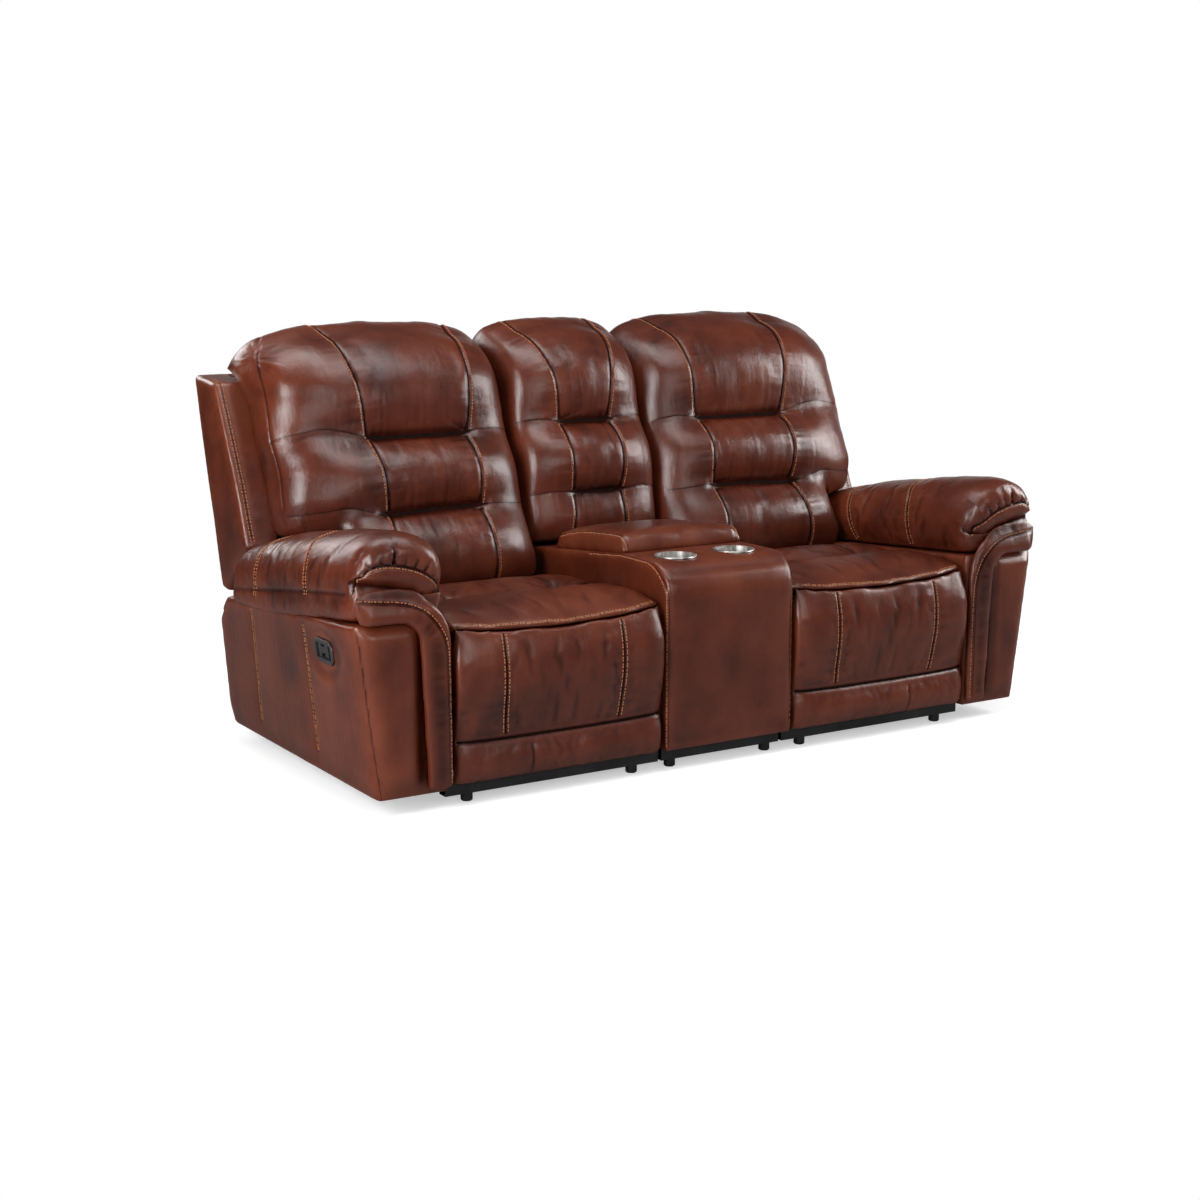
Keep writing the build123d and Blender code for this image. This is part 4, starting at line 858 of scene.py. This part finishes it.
def center_shape():
    skin = remeshed("center_back_cushion", voxel=BACK_VOXEL, rounds=3)
    middle = middle_share(skin.co[:, 0], *CENTER_PANEL)
    skin.relax(14, 0.5 - 0.28 * middle)
    z = skin.co[:, 2]
    flank = (1 - middle) * band(z, 0.50, 0.54, 0.84, 0.92)
    skin.relax(40, 0.5 * flank)
    skin.co[:, 0] += 0.007 * np.sign(skin.co[:, 0]) * smooth_step(0.150, 0.185, np.abs(skin.co[:, 0]))
    skin.lift(-0.005)
    tree = skin.tree()
    folds = lines_on(tree, CENTER_FOLDS)
    ups = [line for line, _ in center_rows(tree)]
    across = (0.3 + 0.7 * middle) * near_to(skin, folds, 0.010, 0.035)
    hold = np.maximum(across, 0.8 * near_to(skin, ups, 0.006, 0.024))
    rear = turned(skin, REAR, 0.25, 0.6)
    under = turned(skin, DOWN, 0.5, 0.8)
    sides = sideways(skin, 0.6, 0.9)
    stuffed(skin, np.maximum.reduce([hold, rear, under, 0.85 * sides]), cap=0.014)
    skin.relax(8, (0.5 - 0.3 * middle) * (1 - hold))
    return finer(skin)


def center_detail(skin, seed):
    tree = skin.tree()
    folds = lines_on(tree, CENTER_FOLDS)
    rows = center_rows(tree)
    middle = middle_share(skin.co[:, 0], *CENTER_PANEL)
    move = back_seams(skin, folds, rows, middle, CENTER_FOLD, seed)
    front = turned(skin, FRONT, 0.1, 0.5)
    upright = noise(skin.co * (60, 6, 9), seed + 20)
    move += front * (0.0003 * upright * middle + uneven(skin, seed + 22, 0.0004, (15, 12, 12), 0.00010, 50))
    return back_thread(raised(skin, move), folds, rows)


center = center_shape()
show("center_back_upholstery", center, center_detail(center, seed=5), "root", ["center_back_cushion"])


# Seat cushion

SEAT_LIP = [(0.199, -0.496, 0.424), (0.260, -0.512, 0.412), (0.321, -0.518, 0.405), (0.4725, -0.520, 0.400),
            (0.630, -0.518, 0.404), (0.690, -0.511, 0.412), (0.746, -0.496, 0.424)]
SEAT_CROSS = [(0.180, -0.175, 0.420), (0.250, -0.215, 0.425), (0.326, -0.240, 0.420), (0.4725, -0.240, 0.420),
              (0.619, -0.240, 0.420), (0.700, -0.240, 0.425), (0.760, -0.240, 0.420)]
SEAT_RUNS = [
    [(0.326, -0.240, 0.420), (0.322, -0.150, 0.440), (0.316, 0.004, 0.405)],
    [(0.619, -0.240, 0.420), (0.623, -0.150, 0.440), (0.630, 0.004, 0.405)],
]
SEAT_TUFTS = [points[0][:2] for points in SEAT_RUNS]
SEAT_MIDDLE = 0.4725
SEAT_HALF = 0.27
LIP_SEAM = Seam(0.0012, 0.0045, 0.0004, 0.030, 0.030, 0.001)
CROSS_SEAM = Seam(0.0055, 0.008, 0.0014, 0.035, 0.030, 0.001)
RUN_SEAM = Seam(0.0045, 0.010, 0.0018, 0.030, 0.028, 0.001)
LIP_ROWS = (0.0055, 0.0115)
TUFT_DEPTH = 0.010
TUFT_WIDTH = 0.028
RAY_HEIGHT = 0.0030
RAY_REACH = 0.06


def seat_shape():
    skin = remeshed("right_seat_cushion", voxel=0.0085, rounds=8)
    skin.lift(-0.003)
    tree = skin.tree()
    lines = lines_on(tree, [SEAT_LIP, SEAT_CROSS] + SEAT_RUNS)
    lip = near_to(skin, lines[:1], 0.012, 0.036)
    skin.relax(30, 0.5 * lip)
    skin.co += np.array([0.0, -0.013, -0.002]) * lip[:, None]
    skin.co[:, 0] += 0.012 * lip * ((skin.co[:, 0] - SEAT_MIDDLE) / SEAT_HALF) ** 3
    hold = np.maximum(lip, 0.9 * near_to(skin, lines[1:], 0.006, 0.030))
    under = turned(skin, DOWN, 0.1, 0.5)
    rear = smooth_step(-0.03, 0.0, skin.co[:, 1])
    sides = sideways(skin, 0.6, 0.9)
    stuffed(skin, np.maximum.reduce([hold, under, rear, 0.9 * sides]), cap=0.016)
    skin.relax(8, 0.5 * near_to(skin, lines[:1], 0.025, 0.070))
    return finer(skin)


def seat_detail(skin, seed):
    tree = skin.tree()
    x, y, z = skin.co.T
    lip, cross, *runs = lines_on(tree, [SEAT_LIP, SEAT_CROSS] + SEAT_RUNS)
    move = sewn(skin, lip, LIP_SEAM, seed)
    move += sewn(skin, cross, CROSS_SEAM, seed + 1)
    move += all_sewn(skin, runs, RUN_SEAM, seed + 2)
    up = turned(skin, UP, 0.3, 0.8)
    for k, (tuft_x, tuft_y) in enumerate(SEAT_TUFTS):
        away = np.hypot(x - tuft_x, y - tuft_y)
        angle = np.arctan2(y - tuft_y, x - tuft_x)
        move -= up * TUFT_DEPTH * np.exp(-(away / TUFT_WIDTH) ** 2)
        rays = ridges(angle + 4.0, 0.28, seed + 8 + k)
        move += up * RAY_HEIGHT * rays * (away / RAY_REACH) * np.exp(1 - away / RAY_REACH)
    along = noise(np.stack([(x + 0.4 * y) * 26, y * 7, z * 5], axis=1), seed + 24)
    move += up * (0.0007 * along + uneven(skin, seed + 22, 0.0012, (12, 14, 10), 0.00012, 48))
    thread = raised(skin, move)
    thread.sew(lip, LIP_ROWS)
    thread.shade_strip(cross, FINE_SHADE_STRIP)
    return thread


both_sides(seat_shape, seat_detail, "seat_upholstery", "seat", "seat_cushion")


# Footrest pad

PAD_SEAMS = [
    [(0.317, -0.516, 0.396), (0.317, -0.524, 0.330), (0.317, -0.526, 0.260), (0.319, -0.520, 0.200),
     (0.322, -0.509, 0.156)],
    [(0.630, -0.516, 0.396), (0.630, -0.524, 0.330), (0.630, -0.526, 0.260), (0.628, -0.520, 0.200),
     (0.624, -0.509, 0.156)],
]
PAD_FOLD = [(0.198, -0.498, 0.150), (0.300, -0.508, 0.147), (0.4725, -0.509, 0.146), (0.645, -0.508, 0.147),
            (0.747, -0.498, 0.150)]
PAD_FOLD_SEAM = Seam(0.0045, 0.0050, 0.0006, 0.030, 0.020, 0.001)
PAD_SEAM = Seam(0.0024, 0.0040, 0.0008, 0.018, 0.022, 0.001)
DART_X = 0.557
DART_DEPTH = 0.0030
DART_WIDTH = 0.005


def pad_shape():
    skin = remeshed("right_footrest_pad", voxel=0.0075, rounds=6)
    skin.lift(-0.002)
    rim = smooth_step(0.345, 0.385, skin.co[:, 2])
    skin.relax(24, 0.5 * rim)
    _, y, z = skin.co.T
    ahead = smooth_step(-0.490, -0.505, y)
    skin.co[:, 1] -= 0.007 * ahead * band(z, 0.19, 0.29, 0.33, 0.39)
    skin.co[:, 2] += 0.012 * rim - 0.008 * (1 - smooth_step(0.06, 0.11, z))
    tree = skin.tree()
    hold = near_to(skin, [Line(tree, PAD_FOLD)], 0.008, 0.028)
    hold = np.maximum(hold, 0.75 * near_to(skin, lines_on(tree, PAD_SEAMS), 0.006, 0.024))
    rear = turned(skin, REAR, 0.1, 0.5)
    top = turned(skin, UP, 0.3, 0.7)
    sides = sideways(skin, 0.6, 0.9)
    stuffed(skin, np.maximum.reduce([hold, rear, top, 0.8 * sides]), cap=0.012)
    skin.relax(8, 0.5 * rim)
    return finer(skin)


def pad_detail(skin, seed):
    tree = skin.tree()
    x, _, z = skin.co.T
    seams = lines_on(tree, PAD_SEAMS)
    fold = Line(tree, PAD_FOLD)
    move = sewn(skin, fold, PAD_FOLD_SEAM, seed)
    move += all_sewn(skin, seams, PAD_SEAM, seed + 2)
    front = turned(skin, FRONT, 0.2, 0.6)
    upper = noise(skin.co * (30, 8, 8), seed + 24)
    near_top = smooth_step(0.25, 0.38, z)
    waves = uneven(skin, seed + 22, 0.0009, (10, 10, 11), 0.0001, 45)
    move += front * (waves + 0.0003 * upper * (0.4 + near_top))
    dart = np.exp(-((x - DART_X) / DART_WIDTH) ** 2) * (1 - smooth_step(0.110, 0.135, z))
    move -= front * DART_DEPTH * dart
    thread = raised(skin, move)
    for line in seams:
        thread.sew(line, DOUBLE_ROW, SHADE_STRIP_HALF)
    thread.shade_strip(fold, SHADE_STRIP_HALF)
    return thread


both_sides(pad_shape, pad_detail, "footrest_upholstery", "footrest", "footrest_pad")


# Arm pillow

PILLOW_ARCH = [(1.006, -0.485, 0.506), (1.000, -0.508, 0.540), (0.955, -0.516, 0.568), (0.900, -0.517, 0.570),
               (0.835, -0.515, 0.552), (0.786, -0.508, 0.519), (0.764, -0.490, 0.500)]
PLEATS = [(0.060, 0.0030, 0.016), (0.085, 0.0040, 0.022), (0.112, 0.0036, 0.018), (0.140, 0.0080, 0.036),
          (0.163, 0.0030, 0.018), (0.190, 0.0042, 0.022), (0.216, 0.0055, 0.026), (0.243, 0.0034, 0.018)]
CAP_FOOT = ((0.772, -0.010), (0.810, -0.022), (0.847, -0.006), (0.906, 0.012), (0.978, 0.022))
PILLOW_CROSS = [
    [(0.992, 0.050, 0.420), (0.990, 0.055, 0.500), (0.955, 0.070, 0.580), (0.880, 0.070, 0.600),
     (0.800, 0.045, 0.580), (0.765, 0.000, 0.490), (0.757, -0.038, 0.410)],
    [(0.994, -0.252, 0.470), (0.994, -0.240, 0.540), (0.960, -0.205, 0.612), (0.880, -0.190, 0.630),
     (0.800, -0.212, 0.612), (0.765, -0.241, 0.554), (0.757, -0.267, 0.425)],
]
PILLOW_SIDE = [(0.985, 0.235, 0.412), (0.995, 0.100, 0.430), (0.996, -0.100, 0.460), (0.996, -0.300, 0.488),
               (0.996, -0.470, 0.508)]
ARCH_SEAM = Seam(0.0045, 0.0050, fade=0.01)
ARCH_ROW = 0.0050
PILLOW_SEAM = Seam(0.0030, 0.0042, 0.0012, 0.020, 0.022)
BOLSTER_SEAM = Seam(0.0018, 0.0045, 0.0006, 0.03, 0.02)
PLEAT_WIDTH = 0.0048
ARM_FRONT_Y = -0.494
ARM_FRONT_Z = 0.442
ARM_SLOPE = 0.0699


def arm_top(y):
    """Height of the arm under its pillow."""
    return ARM_FRONT_Z - ARM_SLOPE * (y - ARM_FRONT_Y)


def pillow_shape():
    skin = remeshed("right_arm_pillow", voxel=0.0078, rounds=11)
    skin.lift(-0.002)
    x, y, z = skin.co.T
    ground = arm_top(y)
    bolster = smooth_step(0.950, 0.985, x) * (1 - smooth_step(0.012, 0.060, z - ground))
    front = smooth_step(-0.445, -0.490, y)
    tuck = front * (1 - smooth_step(0.508, 0.556, z)) * smooth_step(0.500, 0.506, z)
    foot = np.interp(x, *zip(*CAP_FOOT))
    skin.co[:, 0] += 0.010 * bolster
    skin.co[:, 1] += 0.020 * tuck ** 2
    skin.co[:, 2] += tuck * foot - 0.030 * bolster * smooth_step(-0.48, 0.05, y)
    tree = skin.tree()
    hold = 0.85 * near_to(skin, [Line(tree, PILLOW_ARCH)], 0.006, 0.030)
    crosses = lines_on(tree, PILLOW_CROSS + [PILLOW_SIDE])
    hold = np.maximum(hold, 0.7 * near_to(skin, crosses, 0.006, 0.024))
    under = turned(skin, DOWN, 0.5, 0.8)
    stuffed(skin, np.maximum(hold, under), cap=0.008)
    return finer(skin)


def pillow_detail(skin, seed):
    tree = skin.tree()
    x, y, z = skin.co.T
    arch = Line(tree, PILLOW_ARCH)
    crosses = lines_on(tree, PILLOW_CROSS)
    side = Line(tree, PILLOW_SIDE)
    move = sewn(skin, arch, ARCH_SEAM)
    near, away, along, across = arch.measure(skin.co, 0.12)
    above = smooth_step(0.0, -0.006, across)
    gathers = 0.0016 * ridges(along, 0.014, seed) * (away / 0.018) * np.exp(1 - away / 0.018)
    shift = 0.004 * ridges(np.arange(len(PLEATS)) * 1.0, 1.0, seed + 9)
    for (spot, depth, length), step in zip(PLEATS, shift):
        lean = 0.25 * (spot - 0.15) * away
        crease = np.exp(-((along - spot - step - lean) / PLEAT_WIDTH) ** 2)
        gathers -= depth * crease * np.exp(-(away / length) ** 2)
    move[near] += above * gathers
    move += all_sewn(skin, crosses, PILLOW_SEAM, seed + 2)
    move += sewn(skin, side, BOLSTER_SEAM, seed + 5)
    sweep = noise(np.stack([x * 10, (y + 0.3 * z) * 34, z * 6], axis=1), seed + 24)
    front = smooth_step(-0.20, -0.45, y)
    free = smooth_step(0.0, 0.06, z - arm_top(y))
    waves = uneven(skin, seed + 22, 0.0012, (11, 9, 12), 0.00012, 46)
    move += free * (waves + 0.0009 * sweep * (0.35 + front))
    thread = raised(skin, move)
    thread.sew(arch, [ARCH_ROW], SHADE_STRIP_HALF)
    for line in crosses:
        thread.sew(line, DOUBLE_ROW, FINE_SHADE_STRIP)
    return thread


both_sides(pillow_shape, pillow_detail, "arm_pillow_upholstery", "root", "arm_pillow")


# Arm facing band

FACING_ROW = [
    (0.996, -0.505, 0.496), (0.925, -0.5185, 0.492), (0.872, -0.5185, 0.483), (0.827, -0.5185, 0.462),
    (0.790, -0.5185, 0.420), (0.772, -0.5185, 0.360), (0.769, -0.5185, 0.209), (0.769, -0.5185, 0.060),
]
FACING_SEAM = Seam(0.0022, 0.0040, 0.0008, 0.02, 0.016)
FACING_STITCHES = -0.003
FACING_SHADE_STRIP = 0.004
FACING_BEND = (0.80, 0.43)
BEND_REACH = 0.05
FAN_POINT = (0.86, 0.38)


def facing_shape():
    skin = remeshed("right_arm_facing", voxel=0.005, rounds=8)
    x, y, z = skin.co.T
    outer = smooth_step(0.955, 0.997, x)
    ahead = smooth_step(-0.497, -0.520, y)
    skin.co[:, 1] += ahead * (0.018 * outer + 0.012 * (1 - outer) * smooth_step(0.455, 0.505, z))
    skin.co[:, 2] += 0.016 * smooth_step(0.480, 0.504, z) * (1 - ahead) * (1 - 0.5 * outer)
    skin.relax(6)
    skin.relax(60, 0.5 * outer)
    return skin


def facing_detail(skin, seed):
    tree = skin.tree()
    row = Line(tree, FACING_ROW)
    x, _, z = skin.co.T
    front = turned(skin, FRONT, 0.3, 0.8)
    move = sewn(skin, row, FACING_SEAM, seed)
    broad = noise(skin.co * (18, 10, 18), seed + 22)
    bend = np.exp(-(np.hypot(x - FACING_BEND[0], z - FACING_BEND[1]) / BEND_REACH) ** 2)
    fan = ridges(np.arctan2(z - FAN_POINT[1], x - FAN_POINT[0]) + 4, 0.16, seed + 9)
    move += front * (0.0012 * broad + 0.0016 * bend * fan)
    thread = raised(skin, move)
    thread.sew(row, [FACING_STITCHES])
    thread.shade_strip(row.shifted(thread.tree, FACING_SHADE_STRIP), FINE_SHADE_STRIP)
    return thread


both_sides(facing_shape, facing_detail, "arm_facing_upholstery", "root", "arm_facing")


# Arm cover

COVER_SEAMS = [
    [(0.932, 0.149, 0.045), (0.945, 0.140, 0.140), (0.965, 0.125, 0.280), (0.978, 0.111, 0.380)],
    [(0.932, -0.192, 0.045), (0.945, -0.195, 0.140), (0.965, -0.200, 0.280), (0.980, -0.203, 0.400)],
]
COVER_EDGE = [(0.930, -0.494, 0.045), (0.945, -0.494, 0.150), (0.960, -0.494, 0.250), (0.983, -0.494, 0.420)]
COVER_SEAM = Seam(0.0030, 0.0045, 0.0008, 0.03, 0.025)
COVER_EDGE_SEAM = Seam(0.0026, 0.0045, 0.0006, 0.03, 0.02)
BEZEL_Y = -0.308
BEZEL_Z = 0.352
BEZEL_REACH = (0.062, 0.042)


def cover_shape():
    skin = remeshed("right_arm_cover", voxel=0.007, rounds=4)
    x, _, z = skin.co.T
    skin.co[:, 0] += 0.009 * smooth_step(0.88, 0.92, x) * (1 - smooth_step(0.0, 0.40, z))
    return skin


def cover_detail(skin, seed):
    tree = skin.tree()
    seams = lines_on(tree, COVER_SEAMS)
    edge = Line(tree, COVER_EDGE)
    x, y, z = skin.co.T
    out = turned(skin, OUT, 0.6, 0.9) * smooth_step(0.90, 0.925, x)
    front = turned(skin, FRONT, 0.6, 0.9) * smooth_step(-0.47, -0.49, y)
    bezel = np.hypot((y - BEZEL_Y) / BEZEL_REACH[0], (z - BEZEL_Z) / BEZEL_REACH[1])
    clear = smooth_step(1.0, 1.9, bezel)
    low = smooth_step(0.04, 0.10, z)
    gap = gap_to(skin, seams + [edge])
    move = out * clear * low * 0.0065 * (1 - np.exp(-gap / 0.045))
    inset = smooth_step(0.828, 0.862, x) * smooth_step(0.440, 0.408, z) * low
    move += front * inset * 0.015 * smooth_step(-0.010, 0.03, gap)
    move += out * all_sewn(skin, seams, COVER_SEAM, seed)
    move += sewn(skin, edge, COVER_EDGE_SEAM, seed + 4)
    move += (out * clear + front) * uneven(skin, seed + 22, 0.0014, (9, 9, 7), 0.00008, 40)
    thread = raised(skin, move)
    for line in seams:
        thread.sew(line, CLOSE_DOUBLE_ROW, FINE_SHADE_STRIP)
    thread.shade_strip(edge, FINE_SHADE_STRIP)
    return thread


both_sides(cover_shape, cover_detail, "arm_upholstery", "root", "arm_cover")


# Back shell and wing

WING_SEAM = Seam(0.0030, 0.0045, 0.0010, 0.02, 0.02)
WING_ROW_X = 0.930
WING_ROW_TOP = (WING_ROW_X, 0.440, 0.915)
WING_ROW_HEIGHTS = (0.885, 0.850, 0.800, 0.740, 0.680, 0.620, 0.570, 0.525)


def shell_shape():
    skin = remeshed("right_back_shell", voxel=0.006, rounds=5)
    x, y, z = skin.co.T
    low = smooth_step(0.855, 0.87, x) * smooth_step(0.66, 0.56, z) * smooth_step(0.37, 0.27, y)
    skin.co[:, 2] -= 0.045 * low
    skin.co[:, 1] -= 0.010 * low
    return skin


def shell_detail(skin, seed):
    tree = skin.tree()
    x, y, z = skin.co.T
    places = [WING_ROW_TOP]
    for height in WING_ROW_HEIGHTS:
        ahead = y[(np.abs(x - WING_ROW_X) < 0.008) & (np.abs(z - height) < 0.008)].min()
        places.append((WING_ROW_X, ahead, height))
    row = Line(tree, places)
    wing = smooth_step(0.868, 0.89, x)
    move = sewn(skin, row, WING_SEAM, seed)
    shown = np.maximum(wing, turned(skin, REAR, 0.5, 0.9))
    move += shown * uneven(skin, seed + 22, 0.0014, (10, 10, 9), 0.0001, 40)
    thread = raised(skin, move)
    thread.sew(row, CLOSE_DOUBLE_ROW, FINE_SHADE_STRIP)
    return thread


both_sides(shell_shape, shell_detail, "back_outer_upholstery", "back", "back_shell")


def panel_detail(skin, seed):
    """Slight unevenness of leather over a flat panel."""
    shown = turned(skin, REAR, 0.5, 0.9)
    return raised(skin, shown * uneven(skin, seed, 0.0014, 10, 0.0001, 40))


center_shell = remeshed("center_back_shell", voxel=0.006, rounds=4)
show("center_back_outer_upholstery", center_shell, panel_detail(center_shell, seed=31), "root",
     ["center_back_shell"])


# Console and lid

CONSOLE_EDGE = [
    (0.181, -0.150, 0.486), (0.181, -0.303, 0.503), (0.181, -0.400, 0.502), (0.181, -0.455, 0.490),
    (0.181, -0.494, 0.455), (0.181, -0.509, 0.410), (0.181, -0.510, 0.250), (0.181, -0.510, 0.060),
]
CONSOLE_SEAM = Seam(0.0026, 0.0050, 0.0008, 0.03, 0.02)
CONSOLE_CUP = (0.086, -0.392)


def console_detail(skin, seed):
    tree = skin.tree()
    edges = lines_on(tree, [CONSOLE_EDGE, flipped(CONSOLE_EDGE)])
    x, y, z = skin.co.T
    front = turned(skin, FRONT, 0.5, 0.9) * smooth_step(-0.48, -0.50, y)
    top = turned(skin, UP, 0.6, 0.9) * smooth_step(0.44, 0.46, z) * smooth_step(-0.30, -0.33, y)
    cup = np.hypot(np.abs(x) - CONSOLE_CUP[0], y - CONSOLE_CUP[1])
    clear = smooth_step(0.055, 0.075, cup)
    puff = 1 - np.exp(-gap_to(skin, edges) / 0.035)
    move = (front * smooth_step(0.05, 0.12, z) * 0.007 + top * clear * 0.004) * puff
    move += all_sewn(skin, edges, CONSOLE_SEAM, seed)
    move += (front + top * clear) * uneven(skin, seed + 22, 0.0012, (9, 9, 8), 0.0001, 42)
    thread = raised(skin, move)
    thread.sew_edges(edges)
    return thread


console = remeshed("console_cover", voxel=0.0055, rounds=4)
show("console_upholstery", console, console_detail(console, seed=41), "root", ["console_cover"])

LID_SEAM = [(0.160, 0.010, 0.500), (0.160, -0.100, 0.535), (0.160, -0.200, 0.546), (0.160, -0.245, 0.546),
            (0.160, -0.280, 0.532), (0.160, -0.296, 0.505)]
LID_PIPING = Seam(0.0028, 0.0045, 0.0012, 0.022, 0.02)
LID_FRONT_Y = -0.303
LID_FRONT_Z = 0.503
LID_SLOPE = 0.0963


def lid_shape():
    skin = remeshed("lid_pad", voxel=0.0065, rounds=8)
    skin.lift(-0.001)
    tree = skin.tree()
    hold = 0.8 * near_to(skin, lines_on(tree, [LID_SEAM, flipped(LID_SEAM)]), 0.006, 0.022)
    under = turned(skin, DOWN, 0.4, 0.8)
    stuffed(skin, np.maximum(hold, under), cap=0.006, pressure=3.0)
    ground = LID_FRONT_Z - LID_SLOPE * (skin.co[:, 1] - LID_FRONT_Y)
    skin.relax(10, 0.5 * (1 - hold) * smooth_step(0.012, 0.030, skin.co[:, 2] - ground))
    low = 1 - smooth_step(0.012, 0.040, skin.co[:, 2] - ground)
    skin.co[:, 0] *= 1 + 0.02 * low
    skin.co[:, 1] -= 0.003 * low * smooth_step(-0.26, -0.29, skin.co[:, 1])
    skin.co[:, 2] -= 0.0165 * low
    return skin


def lid_detail(skin, seed):
    tree = skin.tree()
    seams = lines_on(tree, [LID_SEAM, flipped(LID_SEAM)])
    move = all_sewn(skin, seams, LID_PIPING, seed)
    up = turned(skin, UP, 0.2, 0.6)
    move += up * uneven(skin, seed + 4, 0.0006, 9, 0.0001, 45)
    thread = raised(skin, move)
    thread.sew_edges(seams)
    return thread


lid = lid_shape()
show("lid_upholstery", lid, lid_detail(lid, seed=51), "lid", ["lid_pad"])


# Finishes of the CAD nodes that stay in view

for finish, plain_names in FINISHES:
    for name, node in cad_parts.items():
        if name.removeprefix("left_").removeprefix("right_") in plain_names:
            node.data.materials.clear()
            node.data.materials.append(finish)


# Studio

AMBIENT = 0.05
CEILING = 0.12
BACKDROP = 0.7
FLOOR_HALF = 30.0
FLOOR = 0.70
FLOOR_MIRRORED = 0.22
FLOOR_GLOW = 0.48
FLOOR_FADE = (1.3, 2.6)
SOFA_MIDDLE = (0.0, 0.0, 0.4)
LAMPS = {
    "left": ((-3.2, -1.3, 1.5), SOFA_MIDDLE, (1.1, 1.8), 106),
    "right": ((3.2, -1.2, 1.7), SOFA_MIDDLE, (0.9, 1.8), 92),
    "front": ((-0.6, -4.2, 1.9), (0.0, 0.0, 0.3), (2.4, 1.0), 40),
    "top": ((-0.3, -0.2, 3.0), SOFA_MIDDLE, (3.4, 0.9), 56),
    "rear": ((-1.4, 2.6, 1.9), (-0.9, -0.3, 0.5), (1.4, 1.0), 26),
}
LENS = 59.934
SENSOR = 36.0
CAMERA_PLACE = (-2.754099, -4.352275, 1.305039)
CAMERA_TILT = math.pi / 2 - 0.188839
CAMERA_TURN = -0.554625


def softbox(name, place, aim, size, power):
    lamp = bpy.data.lights.new(name, "AREA")
    lamp.shape = "RECTANGLE"
    lamp.size, lamp.size_y = size
    lamp.energy = power
    holder = linked(name, lamp)
    holder.location = place
    holder.rotation_euler = (Vector(aim) - Vector(place)).to_track_quat("-Z", "Y").to_euler()


def surround():
    """White to the camera, dim to the leather, and paler above and at the right where it is mirrored."""
    world = bpy.data.worlds.new("studio")
    scene.world = world
    world.use_nodes = True
    tree = world.node_tree
    tree.nodes.clear()
    path = add(tree, "ShaderNodeLightPath").outputs
    way = add(tree, "ShaderNodeSeparateXYZ", add(tree, "ShaderNodeTexCoord").outputs["Generated"]).outputs
    ceiling = ranged(tree, way["Z"], 0.45, 0.90, 0.0, CEILING)
    backdrop = ranged(tree, way["Y"], 0.05, 0.45, 0.0, BACKDROP)
    backdrop = combined(tree, "MULTIPLY", backdrop, ranged(tree, way["Z"], 0.40, 0.15))
    backdrop = combined(tree, "MULTIPLY", backdrop, ranged(tree, way["X"], 0.0, 0.5))
    around = combined(tree, "MAXIMUM", ceiling, backdrop)
    mirrored = combined(tree, "MULTIPLY", path["Is Glossy Ray"], around)
    seen = combined(tree, "MAXIMUM", path["Is Camera Ray"], path["Is Transmission Ray"])
    seen = combined(tree, "MAXIMUM", seen, mirrored)
    strength = combined(tree, "MULTIPLY_ADD", seen, 1 - AMBIENT, AMBIENT)
    back = add(tree, "ShaderNodeBackground", Color=(1, 1, 1, 1), Strength=strength)
    add(tree, "ShaderNodeOutputWorld", Surface=back.outputs[0])


def paper():
    """Matte floor that keeps the shadow and turns plain white further off."""
    made = bpy.data.materials.new("paper")
    made.use_nodes = True
    tree = made.node_tree
    tree.nodes.clear()
    path = add(tree, "ShaderNodeLightPath").outputs
    shade = combined(tree, "MULTIPLY_ADD", path["Is Glossy Ray"], FLOOR_MIRRORED - FLOOR, FLOOR)
    matte = add(tree, "ShaderNodeBsdfDiffuse", Color=shade)
    shine = combined(tree, "MULTIPLY", path["Is Camera Ray"], FLOOR_GLOW)
    glow = add(tree, "ShaderNodeEmission", Strength=shine)
    near = add(tree, "ShaderNodeAddShader", matte.outputs[0], glow.outputs[0])
    place = add(tree, "ShaderNodeTexCoord").outputs["Object"]
    away = add(tree, "ShaderNodeVectorMath", place, operation="LENGTH").outputs["Value"]
    far = combined(tree, "MULTIPLY", ranged(tree, away, *FLOOR_FADE), path["Is Camera Ray"])
    white = add(tree, "ShaderNodeEmission")
    mixed = add(tree, "ShaderNodeMixShader", far, near.outputs[0], white.outputs[0])
    add(tree, "ShaderNodeOutputMaterial", Surface=mixed.outputs[0])
    return made


def studio():
    surround()
    corners = [(x * FLOOR_HALF, y * FLOOR_HALF, 0) for x, y in ((-1, -1), (1, -1), (1, 1), (-1, 1))]
    mesh = bpy.data.meshes.new("floor")
    mesh.from_pydata(corners, [], [(0, 1, 2, 3)])
    mesh.materials.append(paper())
    floor = linked("floor", mesh)
    for name, (place, aim, size, power) in LAMPS.items():
        softbox(name, place, aim, size, power)
    scene.view_settings.view_transform = "Standard"


def camera():
    lens = bpy.data.cameras.new("camera")
    lens.lens = LENS
    lens.sensor_width = SENSOR
    holder = linked("camera", lens)
    holder.location = CAMERA_PLACE
    holder.rotation_euler = (CAMERA_TILT, 0.0, CAMERA_TURN)
    scene.camera = holder


studio()
camera()
